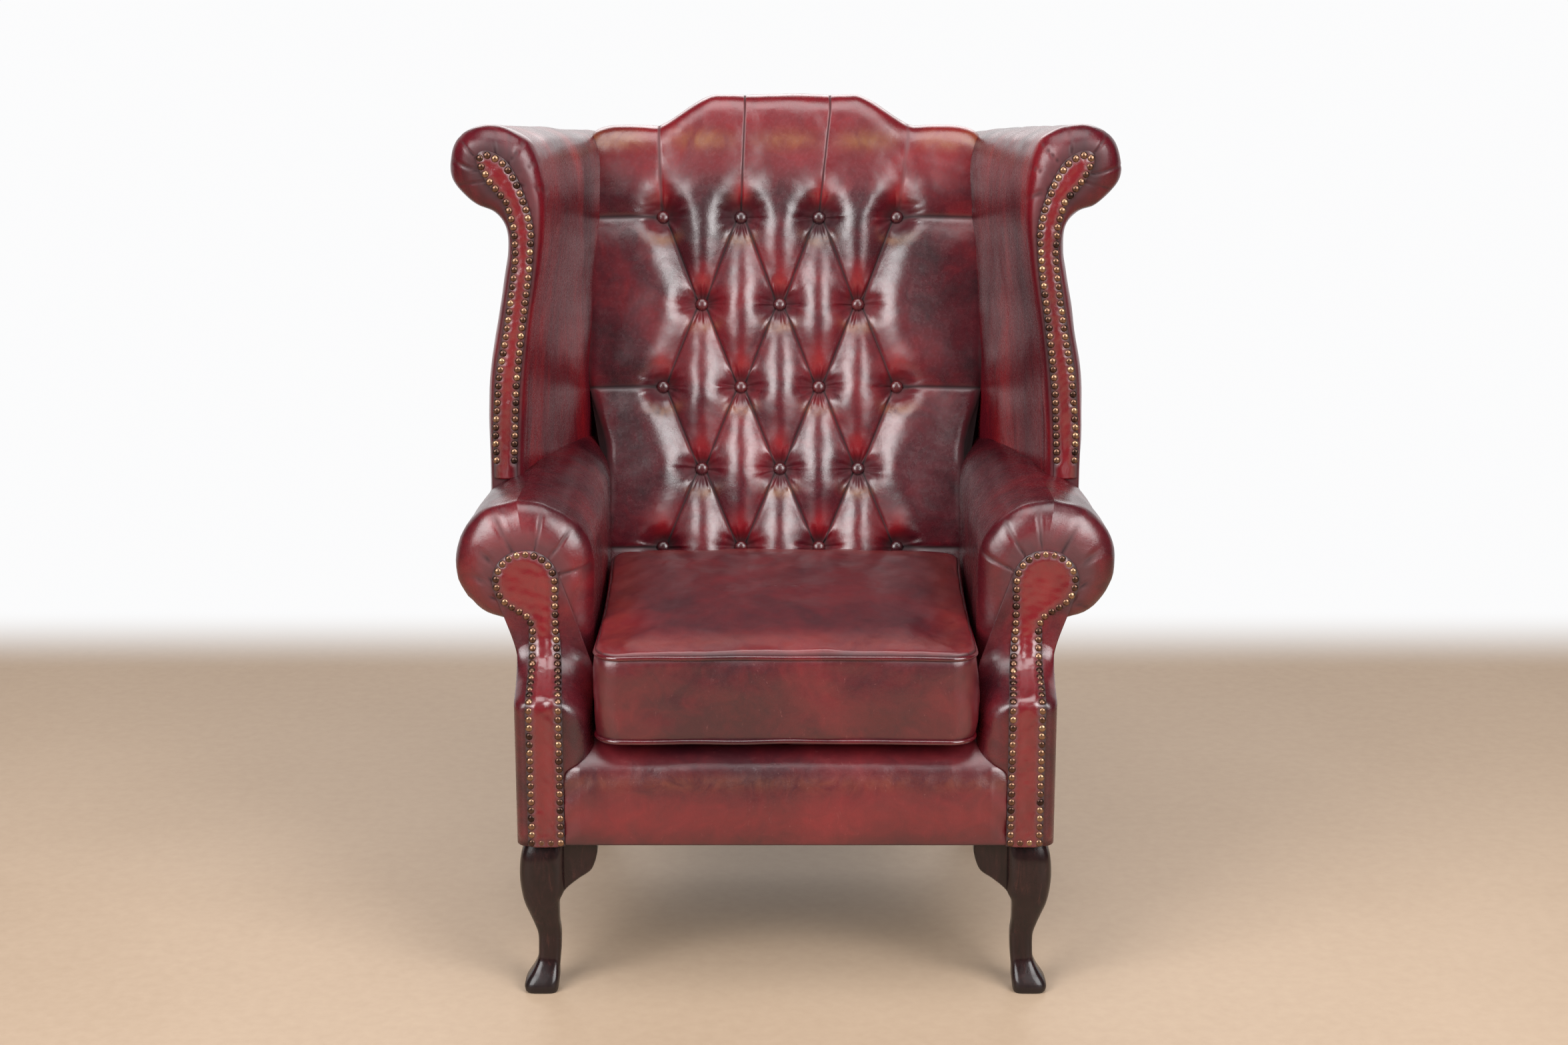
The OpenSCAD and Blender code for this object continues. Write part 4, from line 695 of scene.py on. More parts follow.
button_h, button_r = 0.0062, 0.0072
button_steps = (0.0016, 1.3), (0.002, 1.0), (0.0018, 0.93), (0.0015, 0.84), (0.0011, 0.7), (0.0006, 0.45)
button = dome(24, button_r, button_steps, 0.0001)
button_places = []
for r in range(5):
    for k, u in enumerate(row_u[r]):
        spot = place_on_back(u, row_v[r], button_h - tuft_depth) - np.array([0, front_to_middle, 0])
        tilt = Matrix.Rotation(math.pi / 2 - rake + 0.12 * math.sin(2.1 * k + r), 4, "X")
        button_places.append(Matrix.Translation(Vector(spot)) @ tilt @ Matrix.Rotation(0.5 * k, 4, "Z"))
buttons = copies("covered_buttons", button, button_places, shaded_button_leather)
bpy.data.objects.remove(button)
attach(buttons, "chair")
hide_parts("back_buttons")


# The arms: leather over foam on the arm rail. In front a low padded block stands before the scroll; behind it the
# roll runs back to the outside back. Pleats gather the hide round the scroll, under the nails.
half_seat = 0.2505
rail_top = 0.31
neck_h = 0.139
neck_z = deck + neck_h
roll_r = 0.082
roll_z = 0.566
arm_out = 0.35
wall_out = 0.347
roll_x = 0.3485
facing_in = 0.292
facing_out = 0.329
facing_edge = 0.006
scroll_back = 0.085
scroll_r = 0.03797
scroll_x = 0.33747
scroll_z = 0.5455
low_front = 0.0015
scroll_front = 0.0865
arm_full_y = 0.1165
mid_arm = deck + 0.12 * neck_h
foot_top = 0.324
inner_foot = [(facing_in - facing_edge, 0.309), (facing_in - facing_edge, leg_top)]
round_depth = 0.03
roll_narrows = 0.024
gather_depth = 0.0026
edge_rings = 14
roll_rings = 46

knuckle = smooth_line([
    (deck + s * neck_h, t * scroll_back)
    for s, t in ((0.2, 0), (0.4, 0.004), (0.45, 0.03), (0.49, 0.13), (0.55, 0.36), (0.62, 0.62), (0.73, 0.84),
                 (0.86, 0.94), (1.04, 0.985), (1.3, 1), (3, 1))
], 8)


def facing_y(z):
    """How far the arm's facing stands back from the border, at a height."""
    return np.interp(z, knuckle[:, 0], knuckle[:, 1])


def quarter(u):
    """Rise of a quarter circle from 0 to 1."""
    c = 1 - unit(u)
    return np.sqrt(1 - c * c)


def bend(cx, cz, rx, rz, start, stop, n):
    """Points on part of an ellipse, between two angles in degrees."""
    a = np.radians(np.linspace(start, stop, n))
    return [(cx + rx * math.cos(t), cz + rz * math.sin(t)) for t in a]


def low_section(y, top):
    """Outline of the low block in front of the scroll, from its outer foot over its top to its inner foot."""
    q = (y - low_front) / 0.04
    xi = facing_in - facing_edge + (half_seat - facing_in + facing_edge) * quarter(q)
    xo = facing_out + facing_edge + (arm_out - facing_out - facing_edge) * quarter(q * 2)
    drop_in, drop_out = 0.3 * neck_h * quarter((y + 0.01) / 0.04), 0.1 * neck_h
    wall = top - drop_out
    line = [(xo, leg_top), (xo, rail_top), (xo, mid_arm), (xo, mid_arm + (wall - mid_arm) * 0.4)]
    line += [(xo, mid_arm + (wall - mid_arm) * (0.5 + 0.1 * k)) for k in range(5)]
    line += bend(facing_out, wall, xo - facing_out, drop_out, 0, 90, 5)
    line += bend(facing_in + facing_edge, top - drop_in, facing_in + facing_edge - xi, drop_in, 90, 180, 7)
    inner = mid_arm + (top - drop_in - mid_arm) * 0.6
    return line + [(xi, inner), (xi, mid_arm), (xi, foot_top)] + inner_foot


def scroll_section(t, grow):
    """Outline of the arm at the scroll and behind it, in the same order of points.

    Grow swells it from the facing's edge to the full roll, and t runs along the roll to the outside back.
    """
    def mix(a, b):
        return a + (b - a) * grow

    r = mix(scroll_r + facing_edge, roll_r - 0.02 * t)
    cx, cz = mix(scroll_x, roll_x - roll_narrows * t), mix(scroll_z, roll_z)
    xo = wall_out - 0.035 * t if grow >= 1 else arm_out
    under = mix(-75, -math.degrees(math.acos(max(-1, min(1, (xo - cx) / r)))))
    a = mix(scroll_r + facing_edge, cx - half_seat)
    xi = mix(facing_in, half_seat)
    neck_x, neck_top = mix(facing_out + facing_edge, xo), cz - 1.1 * r
    line = [(xo, leg_top), (xo, rail_top), (xo, mid_arm)]
    line += [(xo + (neck_x - xo) * s, mid_arm + (neck_top - mid_arm) * s) for s in (0.3, 0.55, 0.75, 0.9, 1)]
    line += bend(cx, cz, r, r, under, 90, 6)
    line += bend(cx - roll_r / 50, cz, a - roll_r / 50, r, 90, 180, 7)
    return line + [(xi, mid_arm + (cz - mid_arm) * 0.4), (half_seat, mid_arm), (half_seat, foot_top)] + inner_foot


def outward(grid, middle):
    """Directions out of a shell of rings, away from the middle point of each ring."""
    way = np.cross(np.gradient(grid, axis=0), np.gradient(grid, axis=1))
    way /= np.maximum(np.linalg.norm(way, axis=-1, keepdims=True), 1e-9)
    sign = np.sign(((grid - middle) * way).sum(-1).sum())
    return way * sign


def gathers(turn, reach, angles, radius, seed):
    """Fold depths of pleats that fan out from a scroll, and the shade painted into their grooves.

    Turn is the angle round the scroll in degrees, and reach grows from 0 at the nails.
    """
    chance = np.random.default_rng(seed)
    depth, dark = np.zeros_like(turn), np.zeros_like(turn)
    for angle in angles:
        length = chance.uniform(0.3, 0.65)
        twist = chance.uniform(-7, 7)
        strength = unit(1 - reach / length) ** 1.3
        across = ((turn - angle - twist * reach + 180) % 360 - 180) * math.pi / 180 * radius
        if chance.random() < 0.5:
            across = -across
        groove = hump(across, 0.0015)
        shelf = np.where(across > 0, np.exp(-across / 0.007), 0) * 0.25
        depth += strength * (groove - shelf)
        # Painted shade along each pleat's groove.
        dark += strength * hump(across, 0.0012)
    return depth, unit(dark)


def arm(name, side, angles, seed):
    """One arm: rings up the low block, round the scroll's edge and back along the roll."""
    inside = (knuckle[:, 0] > deck + 0.39 * neck_h) & (knuckle[:, 0] < deck + 0.87 * neck_h)
    rings = [(low_front + y, low_section(low_front + y, z)) for z, y in knuckle[inside]]
    low_count = len(rings)
    first, last = np.array(rings[-1][1]), np.array(scroll_section(0, 0))
    rings += [(rings[-1][0] + (scroll_front - rings[-1][0]) * s, first + (last - first) * s) for s in (0.4, 0.8)]
    for s in 1 - np.cos(np.linspace(0, math.pi / 2, edge_rings)):
        rings.append((scroll_front + round_depth * s, scroll_section(0, float(quarter(s)))))
    grid = np.array([[(x, y, z) for x, z in line] for y, line in rings])
    run = []
    for t in np.linspace(0, 1, roll_rings)[1:]:
        line = scroll_section(t, 1)
        run.append([(x, arm_full_y + (outside_y(z) - arm_full_y) * t, z) for x, z in line])
    grid = np.concatenate([grid, np.array(run)])
    grid = smooth_line(grid.transpose(1, 0, 2), 6).transpose(1, 0, 2)
    x, y, z = (grid[..., k] for k in range(3))
    share = unit((y - arm_full_y) / 0.5)
    centre_x = scroll_x + (roll_x - scroll_x) * unit((y - scroll_front) / round_depth) - roll_narrows * share
    out = outward(grid, np.stack([centre_x, y, roll_z + 0 * share], -1))
    turn = np.degrees(np.arctan2(z - scroll_z - 0.02 * share, x - centre_x))
    reach = np.clip((y - scroll_front) / 0.085, 0, 3)
    reach[:low_count + 2] = 3
    depth, dark = gathers(turn, reach, angles, 0.06, seed)
    on_roll = (z > neck_z - 0.01) & (y > scroll_front - 0.001)
    depth, dark = depth * on_roll, dark * on_roll
    mirror = grid * np.array([side, 1, 1])
    wave = ripple(mirror, 0.09, 0.0011, seed + 5) + ripple(mirror, 0.03, 0.0004, seed + 6)
    still = unit((y - scroll_front) / 0.02) * unit((z - leg_top) / 0.02)
    seam = np.exp(-np.abs(z - neck_z + 0.004) / 0.003) * (out[..., 0] > 0.3) * (share > 0)
    grid = grid + out * (wave * still - gather_depth * depth)[..., None]
    grid[..., 0] *= side
    y = grid[..., 1]
    scallop = unit(1 - (y - scroll_front) / 0.004) * (y > scroll_front - 0.002)
    # Painted shade in the pleats, along the scroll's front edge by the facing and along the seam under the roll.
    marks = {"fold": unit(dark * 0.8 + 0.5 * scallop + 0.3 * seam), "red": unit(0.25 - reach) * on_roll}
    piece = skin(name, grid, arm_leather, marks)
    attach(piece, "chair")
    return piece


left_arm = arm("left_padded_arm", -1, (106, 134, 68, 32, 2, -28, -58, 168), 11)
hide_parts("left_arm_cover")
right_arm = arm("right_padded_arm", 1, (98, 128, 160, 62, 28, -6, -36, -60), 12)
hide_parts("right_arm_cover")


# The arm facings: a narrow padded strip of brighter leather on the front of each arm. It runs up the low block,
# folds back over its top and up round the scroll, and is pulled in at every nail.
nail_dent, nail_mound = 0.0028, 0.0016
strip_thick = 0.006
arm_strip_full, arm_strip_steps = 0.0042, 190


def facing_outline(grow):
    """The right arm's facing, from its inner foot round by its outer side to the inner side again."""
    line = [(facing_in - grow, leg_top + facing_edge - grow), (facing_out + grow, leg_top + facing_edge - grow)]
    line += [(facing_out + grow, deck + s * neck_h) for s in (0, 0.45, 0.55, 0.73)]
    line += [(facing_out + grow * 1.1, neck_z), (facing_out + grow * 1.2 + 0.00328, neck_z + 0.01312 - grow * 0.4)]
    line += bend(scroll_x, scroll_z, scroll_r + grow, scroll_r + grow, -68, 172, 15)
    line += [(facing_in + 0.0075 - grow, neck_z), (facing_in + 0.005 - grow, deck + 0.73 * neck_h)]
    line += [(facing_in + 0.002 - grow, deck + 0.55 * neck_h), (facing_in - grow, deck + 0.45 * neck_h)]
    return line + [(facing_in - grow, deck)]


def evenly(line, count):
    """The same line with its points at equal distances."""
    run = np.concatenate([[0], np.cumsum(np.linalg.norm(np.diff(line, axis=0), axis=1))])
    at = np.linspace(0, run[-1], count)
    return np.stack([np.interp(at, run, line[:, k]) for k in range(line.shape[1])], 1)


def nail_spots(*names):
    """Where each nail of these CAD nodes sits, and which way its dome points."""
    spots = []
    for name in names:
        mesh = nodes[name].data
        points = np.array([v.co for v in mesh.vertices])
        same, spot_of = {}, []
        for p in np.round(points, 5):
            spot_of.append(same.setdefault(tuple(p), len(same)))
        lead = list(range(len(same)))

        def head(i):
            while lead[i] != i:
                lead[i] = lead[lead[i]]
                i = lead[i]
            return i

        for face in mesh.polygons:
            first, *others = (head(spot_of[i]) for i in face.vertices)
            for other in others:
                lead[head(other)] = head(first)
        groups = {}
        for p, i in same.items():
            groups.setdefault(head(i), []).append(p)
        for group in groups.values():
            group = np.array(group)
            far = np.linalg.norm(group - group.mean(0), axis=1)
            tip = group[np.linalg.norm(group - group[far.argmax()], axis=1) < 0.002].mean(0)
            dome = group[np.linalg.norm(group - tip, axis=1) > 0.006].mean(0)
            way = (dome - tip) / np.linalg.norm(dome - tip)
            spots.append((tip + way * 0.009, way))
    return spots


def pulled(grid, spots, wide):
    """How near each point of a grid is to a nail: 1 under it, and fading out over a width."""
    sink = np.zeros(grid.shape[:2])
    for spot, _ in spots:
        far = np.linalg.norm(grid - (spot + np.array([0, front_to_middle, 0])), axis=-1)
        sink = np.maximum(sink, hump(far, wide))
    return sink


def strip(name, left, right, out, spots, full, seed, side):
    """A padded strip between two edges with equal counts of points: a crowned front, a turned edge and a flat back."""
    shares = bunched(26)
    front = left[:, None] + (right - left)[:, None] * shares[None, :, None]
    reach = np.minimum(shares, 1 - shares)[None, :] * np.linalg.norm(right - left, axis=1)[:, None]
    crown = full * (1 - unit(1 - reach / 0.014) ** 2)
    mirror = front * np.array([side, 1, 1])
    sink, near = pulled(mirror, spots, 0.0055), pulled(mirror, spots, 0.012)
    wave = ripple(mirror, 0.03, 0.0006, seed) + ripple(mirror, 0.012, 0.0003, seed + 1)
    rise = crown + wave * unit(reach / 0.006) + nail_mound * near - nail_dent * sink
    top = front + out[:, None] * rise[..., None]
    rear = (left[:, None] + (right - left)[:, None] * shares[None, ::4, None]) - out[:, None] * strip_thick
    rings = np.concatenate([top, rear[:, ::-1]], 1)
    rings[..., 0] *= side
    none = np.zeros(rear.shape[:2])
    # Painted shade in the dents under the nails and along both edges of the strip.
    edge = hump(reach, 0.0035)
    marks = {"fold": np.concatenate([unit(0.75 * sink + 0.6 * edge), none], 1),
             "red": np.concatenate([0.35 * unit(reach / 0.012), none], 1)}
    piece = skin(name, rings, facing_leather, marks)
    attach(piece, "chair")
    return piece


def arm_facing(name, side, spots, seed):
    """The facing's outer and inner edges, laid on the block and the scroll, with a strip between them."""
    line = np.array(facing_outline(0.0052))
    outer, inner = line[1:18], np.vstack([line[0], line[:17:-1], line[17]])
    edges = []
    for half in (outer, inner):
        dense = evenly(smooth_line(half, 10), 400)
        edges.append(evenly(np.stack([dense[:, 0], facing_y(dense[:, 1]), dense[:, 1]], 1), arm_strip_steps))
    outer, inner = edges
    height = (outer[:, 2] + inner[:, 2]) / 2
    rise = np.gradient(facing_y(height)) / np.gradient(height + 1e-9 * np.arange(arm_strip_steps))
    steep = np.arctan(np.clip(rise, 0, 12))
    steep = np.convolve(np.pad(steep, 6, "edge"), np.ones(13) / 13, "valid")
    out = np.stack([0 * steep, -np.cos(steep), np.sin(steep)], 1)
    return strip(name, inner, outer, out, spots, arm_strip_full, seed, side)


left_arm_spots = nail_spots("left_arm_nails_outer", "left_arm_nails_inner")
right_arm_spots = nail_spots("right_arm_nails_outer", "right_arm_nails_inner")
left_facing = arm_facing("left_facing_strip", -1, left_arm_spots, 21)
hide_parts("left_arm_facing")
right_facing = arm_facing("right_facing_strip", 1, right_arm_spots, 23)
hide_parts("right_arm_facing")


# The outside arms and the outside back: thin boards covered in plainer leather. They are fixed under the rolls and
# to the back posts, once all the other covers are on.
dress(panel_leather, "left_outside_arm", "right_outside_arm", "outside_back")


# The wings: plywood boards padded on both sides. Each has a rounded front edge, a scroll at its top that the hide is
# pleated round, and a thinner rear edge against the outside back.
# Outlines of a wing as shares of its flare and its rise: at its full thickness, at its facing and at its rear edge
wing_full_shares = [
    (0.54, -0.17), (0.54, 0.12), (0.51, 0.28), (0.39, 0.43), (0.26, 0.58), (0.215, 0.64), (0.24, 0.71),
    (0.4, 0.75), (0.63, 0.77), (0.84, 0.805), (0.98, 0.845), (1, 0.89), (0.92, 0.95), (0.73, 0.985),
    (0.44, 1), (0.1, 0.985), (-0.17, 0.95), (-0.32, 0.86), (-0.36, 0.76), (-0.28, 0.61), (-0.14, 0.44),
    (-0.04, 0.24), (0.02, 0.02), (0.04, -0.17)
]
wing_facing_shares = [
    (0.48, -0.17), (0.475, 0.12), (0.42, 0.28), (0.3, 0.41), (0.18, 0.55), (0.12, 0.62), (0.13, 0.7),
    (0.22, 0.775), (0.35, 0.81), (0.46, 0.84), (0.55, 0.87), (0.61, 0.9), (0.59, 0.925), (0.51, 0.935),
    (0.36, 0.93), (0.18, 0.905), (0.03, 0.855), (-0.11, 0.78), (-0.18, 0.71), (-0.15, 0.59), (-0.04, 0.42),
    (0.07, 0.24), (0.14, 0.02), (0.145, -0.17)
]
wing_back_shares = [
    (0.95, -0.17), (0.95, 0.12), (0.95, 0.28), (0.95, 0.43), (0.95, 0.58), (0.96, 0.64), (0.98, 0.68),
    (1.02, 0.71), (1.08, 0.73), (1.13, 0.75), (1.15, 0.77), (1.13, 0.795), (1.05, 0.815), (0.85, 0.83),
    (0.6, 0.835), (0.35, 0.83), (0.15, 0.815), (0.04, 0.78), (0, 0.72), (0, 0.61), (0, 0.44),
    (0, 0.24), (0, 0.02), (0, -0.17)
]
arm_top = 0.648
wing_rise = 0.461
wing_flare = 0.0935
wing_front = 0.27
wing_face = 0.2715
wing_edge = 0.028
wing_rear_w = 0.0645
wing_rings = 44
wing_full_y = wing_face + wing_edge
wing_full = np.array([(roll_x + s * wing_flare, arm_top + t * wing_rise) for s, t in wing_full_shares])
wing_rim = np.array([(roll_x + s * wing_flare, arm_top + t * wing_rise) for s, t in wing_facing_shares])
wing_rear = np.array([(half_seat + s * wing_rear_w, arm_top + t * wing_rise) for s, t in wing_back_shares])
wing_eye = np.array([0.3785, 1.042])


def wing(name, side, angles, seed):
    """One wing: rings round its front edge, then back to the outside back."""
    rings = []
    for s in 1 - np.cos(np.linspace(0, math.pi / 2, edge_rings)):
        line = wing_rim + (wing_full - wing_rim) * float(quarter(s))
        rings.append([(x, wing_face + wing_edge * s, z) for x, z in line])
    for t in np.linspace(0, 1, wing_rings)[1:]:
        line = wing_full + (wing_rear - wing_full) * t
        rings.append([(x, wing_full_y + (outside_y(z) - wing_full_y) * t, z) for x, z in line])
    grid = smooth_line(np.array(rings).transpose(1, 0, 2), 7).transpose(1, 0, 2)
    out = outward(grid, grid.mean(1, keepdims=True))
    x, y, z = grid[..., 0] - wing_eye[0], grid[..., 1] - wing_face, grid[..., 2] - wing_eye[1]
    depth, dark = gathers(np.degrees(np.arctan2(z, x)), np.clip(y / 0.1, 0, 3), angles, 0.05, seed)
    near = unit(1.6 - np.hypot(x, z) / 0.075)
    mirror = grid * np.array([side, 1, 1])
    wave = ripple(mirror, 0.1, 0.0013, seed + 5)
    wave += ripple(mirror * np.array([1, 1, 0.4]), 0.022, 0.00035, seed + 6)
    grid = grid + out * (wave * unit(y / 0.02) - gather_depth * depth * near)[..., None]
    grid[..., 0] *= side
    # Painted shade in the pleats round the scroll and along the front edge by the facing.
    rim = unit(1 - (grid[..., 1] - wing_face) / 0.004)
    piece = skin(name, grid, wing_leather, {"fold": unit(dark * near * 0.8 + 0.5 * rim)})
    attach(piece, "chair")
    return piece


left_wing = wing("left_padded_wing", -1, (88, 45, 128, 160, 196, 20, -12), 31)
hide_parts("left_wing_cover")
right_wing = wing("right_padded_wing", 1, (96, 52, 134, 168, 204, 12, -18), 32)
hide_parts("right_wing_cover")


# The wing facings: padded strips of the brighter leather on the fronts of the wings, wide at the scroll. They are
# nailed all round and tuck behind the arms at their feet.
wing_strip_tuck = 0.013
wing_strip_full, wing_strip_steps = 0.0035, 170


def wing_facing(name, side, spots, seed):
    """The facing's two edges up to the scroll's tip, with a strip between them."""
    rim = wing_rim.copy()
    middle = (rim[:12] + rim[:11:-1]) / 2
    for i in range(24):
        aim = middle[min(min(i, 23 - i), 9)] - rim[i]
        rim[i] += aim / np.linalg.norm(aim) * 0.0006
    tip = (rim[11] + rim[12]) / 2
    outer = np.vstack([rim[1:12], tip])
    inner = np.vstack([rim[22:11:-1], tip])
    low = arm_top - wing_strip_tuck
    sides = []
    for half in (inner, outer):
        line = smooth_line(half, 12)
        start = np.array([[np.interp(low, line[:30, 1], line[:30, 0]), low]])
        line = np.vstack([start, line[line[:, 1] > low]])
        line = evenly(line, wing_strip_steps)
        sides.append(np.stack([line[:, 0], wing_front + 0 * line[:, 0], line[:, 1]], 1))
    out = np.tile([0.0, -1, 0], (wing_strip_steps, 1))
    return strip(name, *sides, out, spots, wing_strip_full, seed, side)


left_wing_spots = nail_spots("left_wing_nails")
right_wing_spots = nail_spots("right_wing_nails")
left_wing_strip = wing_facing("left_wing_strip", -1, left_wing_spots, 41)
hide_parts("left_wing_facing")
right_wing_strip = wing_facing("right_wing_strip", 1, right_wing_spots, 43)
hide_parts("right_wing_facing")


# The nails: upholstery nails with domed heads of antique bronze, set close together round the facings. No two have
# quite the same colour, and shade is painted dark round the foot of each head, where it meets the hide. A head has
# few faces, as there are hundreds.
def antique_bronze():
    material, shader, where = new_finish("antique_bronze")
    shade = where.own("age")
    spots = where.noise(420, 4, 0.65)
    colour = (shade * 0.75 + spots * 0.25).ramp(
        (0.15, (0.04, 0.022, 0.018)), (0.4, (0.12, 0.062, 0.042)), (0.62, (0.24, 0.13, 0.08)), (0.9, (0.4, 0.25, 0.14))
    )
    # Painted shade: each head is darkened round its lowest ring, where it meets the hide.
    rim = where.own("rim")
    colour = colour.mixed((rim * 0.85).clamped(), (0.02, 0.012, 0.01))
    give(shader, where, colour, 0.2 + 0.18 * spots + 0.3 * rim, where.bump(spots, 0.00015), metallic=0.95)
    return material


bronze = antique_bronze()
nail_lift, nail_r, nail_tilt = 0.0015, 0.0044, 0.06
nail = dome(10, nail_r, ((0.0006, 1.15), (0.0011, 0.93), (0.001, 0.72), (0.0006, 0.45)))
nail_rows = (
    ("left_arm_nail_heads_out", "left_arm_nails_outer"), ("right_arm_nail_heads_out", "right_arm_nails_outer"),
    ("left_arm_nail_heads_in", "left_arm_nails_inner"), ("right_arm_nail_heads_in", "right_arm_nails_inner"),
    ("left_wing_nail_heads", "left_wing_nails"), ("right_wing_nail_heads", "right_wing_nails"),
)
for name, node in nail_rows:
    chance = np.random.default_rng(len(name) + len(node))
    places, ages = [], []
    for spot, way in nail_spots(node):
        tilt = Vector(way + chance.normal(size=3) * nail_tilt).to_track_quat("Z", "Y").to_matrix().to_4x4()
        places.append(Matrix.Translation(Vector(spot + way * nail_lift)) @ tilt)
        ages.append(chance.beta(2.2, 2.2))
    heads = copies(name, nail, places, bronze, {"age": ages})
    # The rim marks each head's lowest ring, where shade is painted.
    carry(heads.data, "rim", np.tile([v.co.z < 0.0003 for v in nail.data.vertices], len(places)))
    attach(heads, "chair")
    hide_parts(node)
bpy.data.objects.remove(nail)


# The front border: leather over a thin pad on the front rail, turned in over its top towards the seat deck. It is
# pulled in a little beside the arm facings.
border_profile = [
    (0.025, 0.212), (0.0034, 0.2125), (0, 0.2238), (-0.003, 0.261), (-0.0018, 0.2904), (0.003, 0.31),
    (0.0075, 0.3205), (0.025, 0.3352), (0.045, 0.343), (0.07, 0.3448)
]
border_rear = [(0.07, 0.3195), (0.025, 0.3195)]
border_full, border_tuck = 0.002, 0.005


def border():
    """A sheet with its profile swept across, and a flat rear."""
    guide = smooth_line(border_profile, 9)
    reach = facing_in - facing_edge
    across = reach * np.sin(np.linspace(-math.pi / 2, math.pi / 2, 150))
    grid = np.array([[(x, y, z) for y, z in guide] for x in across])
    side = unit(1 - (reach - np.abs(grid[..., 0])) / 0.06)
    slant = np.sin((grid[..., 2] - 0.25) * 150 + np.abs(grid[..., 0]) * 110)
    wave = ripple(grid, 0.12, 0.0014, 51) + ripple(grid, 0.035, 0.0005, 52) + side ** 2 * slant * 0.0012
    face = unit((grid[..., 2] - leg_top) / 0.015)
    grid[..., 1] -= (wave + border_full - border_tuck * unit(side * 3 - 2)) * face
    rear = np.array([[(x, y, z) for y, z in border_rear] for x in across])
    rings = np.concatenate([grid, rear], 1)
    z = rings[..., 2]
    # Painted shade along the border's lower edge.
    marks = {"fold": unit(1 - (z - leg_top) / 0.004) * 0.8,
             "gold": hump(z - 0.3, 0.01) * 0.2,
             "red": hump(z - 0.25, 0.03) * 0.3}
    return skin("padded_border", rings, cushion_leather, marks)


front = border()
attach(front, "chair")
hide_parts("front_border")


# The seat cushion: a box cushion of leather over foam. Its crowned top, boxing and underside are sewn together with
# a piped welt round each edge, and the sides draw in between the corners.
cushion_half_w = 0.247
cushion_y0 = -0.010
cushion_y1 = 0.4626
cushion_mid = (cushion_y0 + cushion_y1) / 2
cushion_half_d = (cushion_y1 - cushion_y0) / 2
cushion_corner = 0.034
cushion_crown = 0.026
cushion_under = 0.0127
top_rings = 44
welt_low = 0.358
welt_d = 0.006
welt_out = 0.0012
draw_in = 0.004


def cushion_outline(inset):
    """The cushion's plan, pulled in by an inset, from the middle of its right side round."""
    hx, hy = cushion_half_w - inset, cushion_half_d - inset
    r = max(welt_d, cushion_corner - inset * 0.4)
    r = min(r, hx * 0.9, hy * 0.9)
    line = []
    for q in range(4):
        sx, sy = (1 if q in (0, 3) else -1), (1 if q < 2 else -1)
        for s in (0, 0.25, 0.5, 0.75):
            d = draw_in * (1 - s * s)
            line.append((sx * (hx - d), sy * s * (hy - r)) if q % 2 == 0 else (sx * s * (hx - r), sy * (hy - d)))
        line += bend(sx * (hx - r), sy * (hy - r), r, r, q * 90, q * 90 + 90, 7)
        for s in (0.75, 0.5, 0.25):
            d = draw_in * (1 - s * s)
            line.append((sx * s * (hx - r), sy * (hy - d)) if q % 2 == 0 else (sx * (hx - d), sy * s * (hy - r)))
    return smooth_line(line, 5, closed=True)


def cushion():
    """Rings from the middle of the crown out to the top welt, down the boxing and in under the cushion."""
    wall = 0.55 * welt_d
    crown_z, full = welt_top + welt_d * 0.5, cushion_crown - welt_d * 0.5
    levels = []
    for s in np.linspace(0.985, 0.02, top_rings) ** 1.25:
        levels.append((s * cushion_half_d + wall * (1 - s), crown_z))
    levels += [(wall, welt_top + welt_d * 0.45), (wall + welt_out, welt_top), (wall, welt_top - welt_d * 0.5)]
    for s in np.linspace(0.06, 0.94, 20):
        puff = math.sin(math.pi * s)
        levels.append((wall - (wall + 0.0007) * puff ** 0.6, welt_top + (welt_low - welt_top) * s))
    levels += [(wall, welt_low + welt_d * 0.5), (wall + welt_out, welt_low), (wall, welt_low - welt_d * 0.45)]
    for s in np.linspace(0.06, 0.97, 12) ** 1.3:
        sag = (cushion_under - welt_d * 0.4) * (1 - (1 - s) ** 5)
        levels.append((s * cushion_half_d + wall, welt_low - welt_d * 0.4 - sag))
    rings = np.array([[(x, cushion_mid + y, z) for x, y in cushion_outline(inset)] for inset, z in levels])
    top = rings[:top_rings]
    plump = 1 - np.abs(top[..., 0] / cushion_half_w) ** 2.4
    plump *= 1 - np.abs((top[..., 1] - cushion_mid) / cushion_half_d) ** 2.4
    top[..., 2] = crown_z + full * np.sqrt(np.maximum(plump, 0))
    out = outward(rings, np.array([0, cushion_mid, 0.41]))
    wave = ripple(rings, 0.11, 0.0019, 61) + ripple(rings, 0.04, 0.0006, 62) + ripple(rings, 0.016, 0.0002, 63)
    x, y, z = rings[..., 0], rings[..., 1], rings[..., 2]
    boxing = unit(1 - np.abs(z - (welt_top + welt_low) / 2) / 0.05)
    creases = np.sin(x * 95 + z * 40 + 1.8 * np.sin(x * 31)) * np.sin(z * 62 + x * 12) * boxing * 0.0007
    seam = np.minimum(np.abs(z - welt_top - 0.001), np.abs(z - welt_low + 0.001))
    edge = hump(seam, 0.006) * (np.abs(out[..., 2]) < 0.9)
    rings = rings + out * (wave * (1 - edge) + creases)[..., None]
    plan = np.minimum(cushion_half_w - np.abs(x), cushion_half_d - np.abs(y - cushion_mid))
    on_top = z > welt_top + 0.004
    # Painted shade along the welts' seams near the cushion's edges.
    marks = {"fold": unit(0.8 * hump(seam, 0.0032) * (plan < 0.012)),
             "red": np.where(on_top, 0.35 * hump(plan - 0.02, 0.035), 0),
             "gold": np.where(on_top, 0.1 * hump(plan - 0.03, 0.02), 0)}
    return skin("seat_pad", rings, cushion_leather, marks)


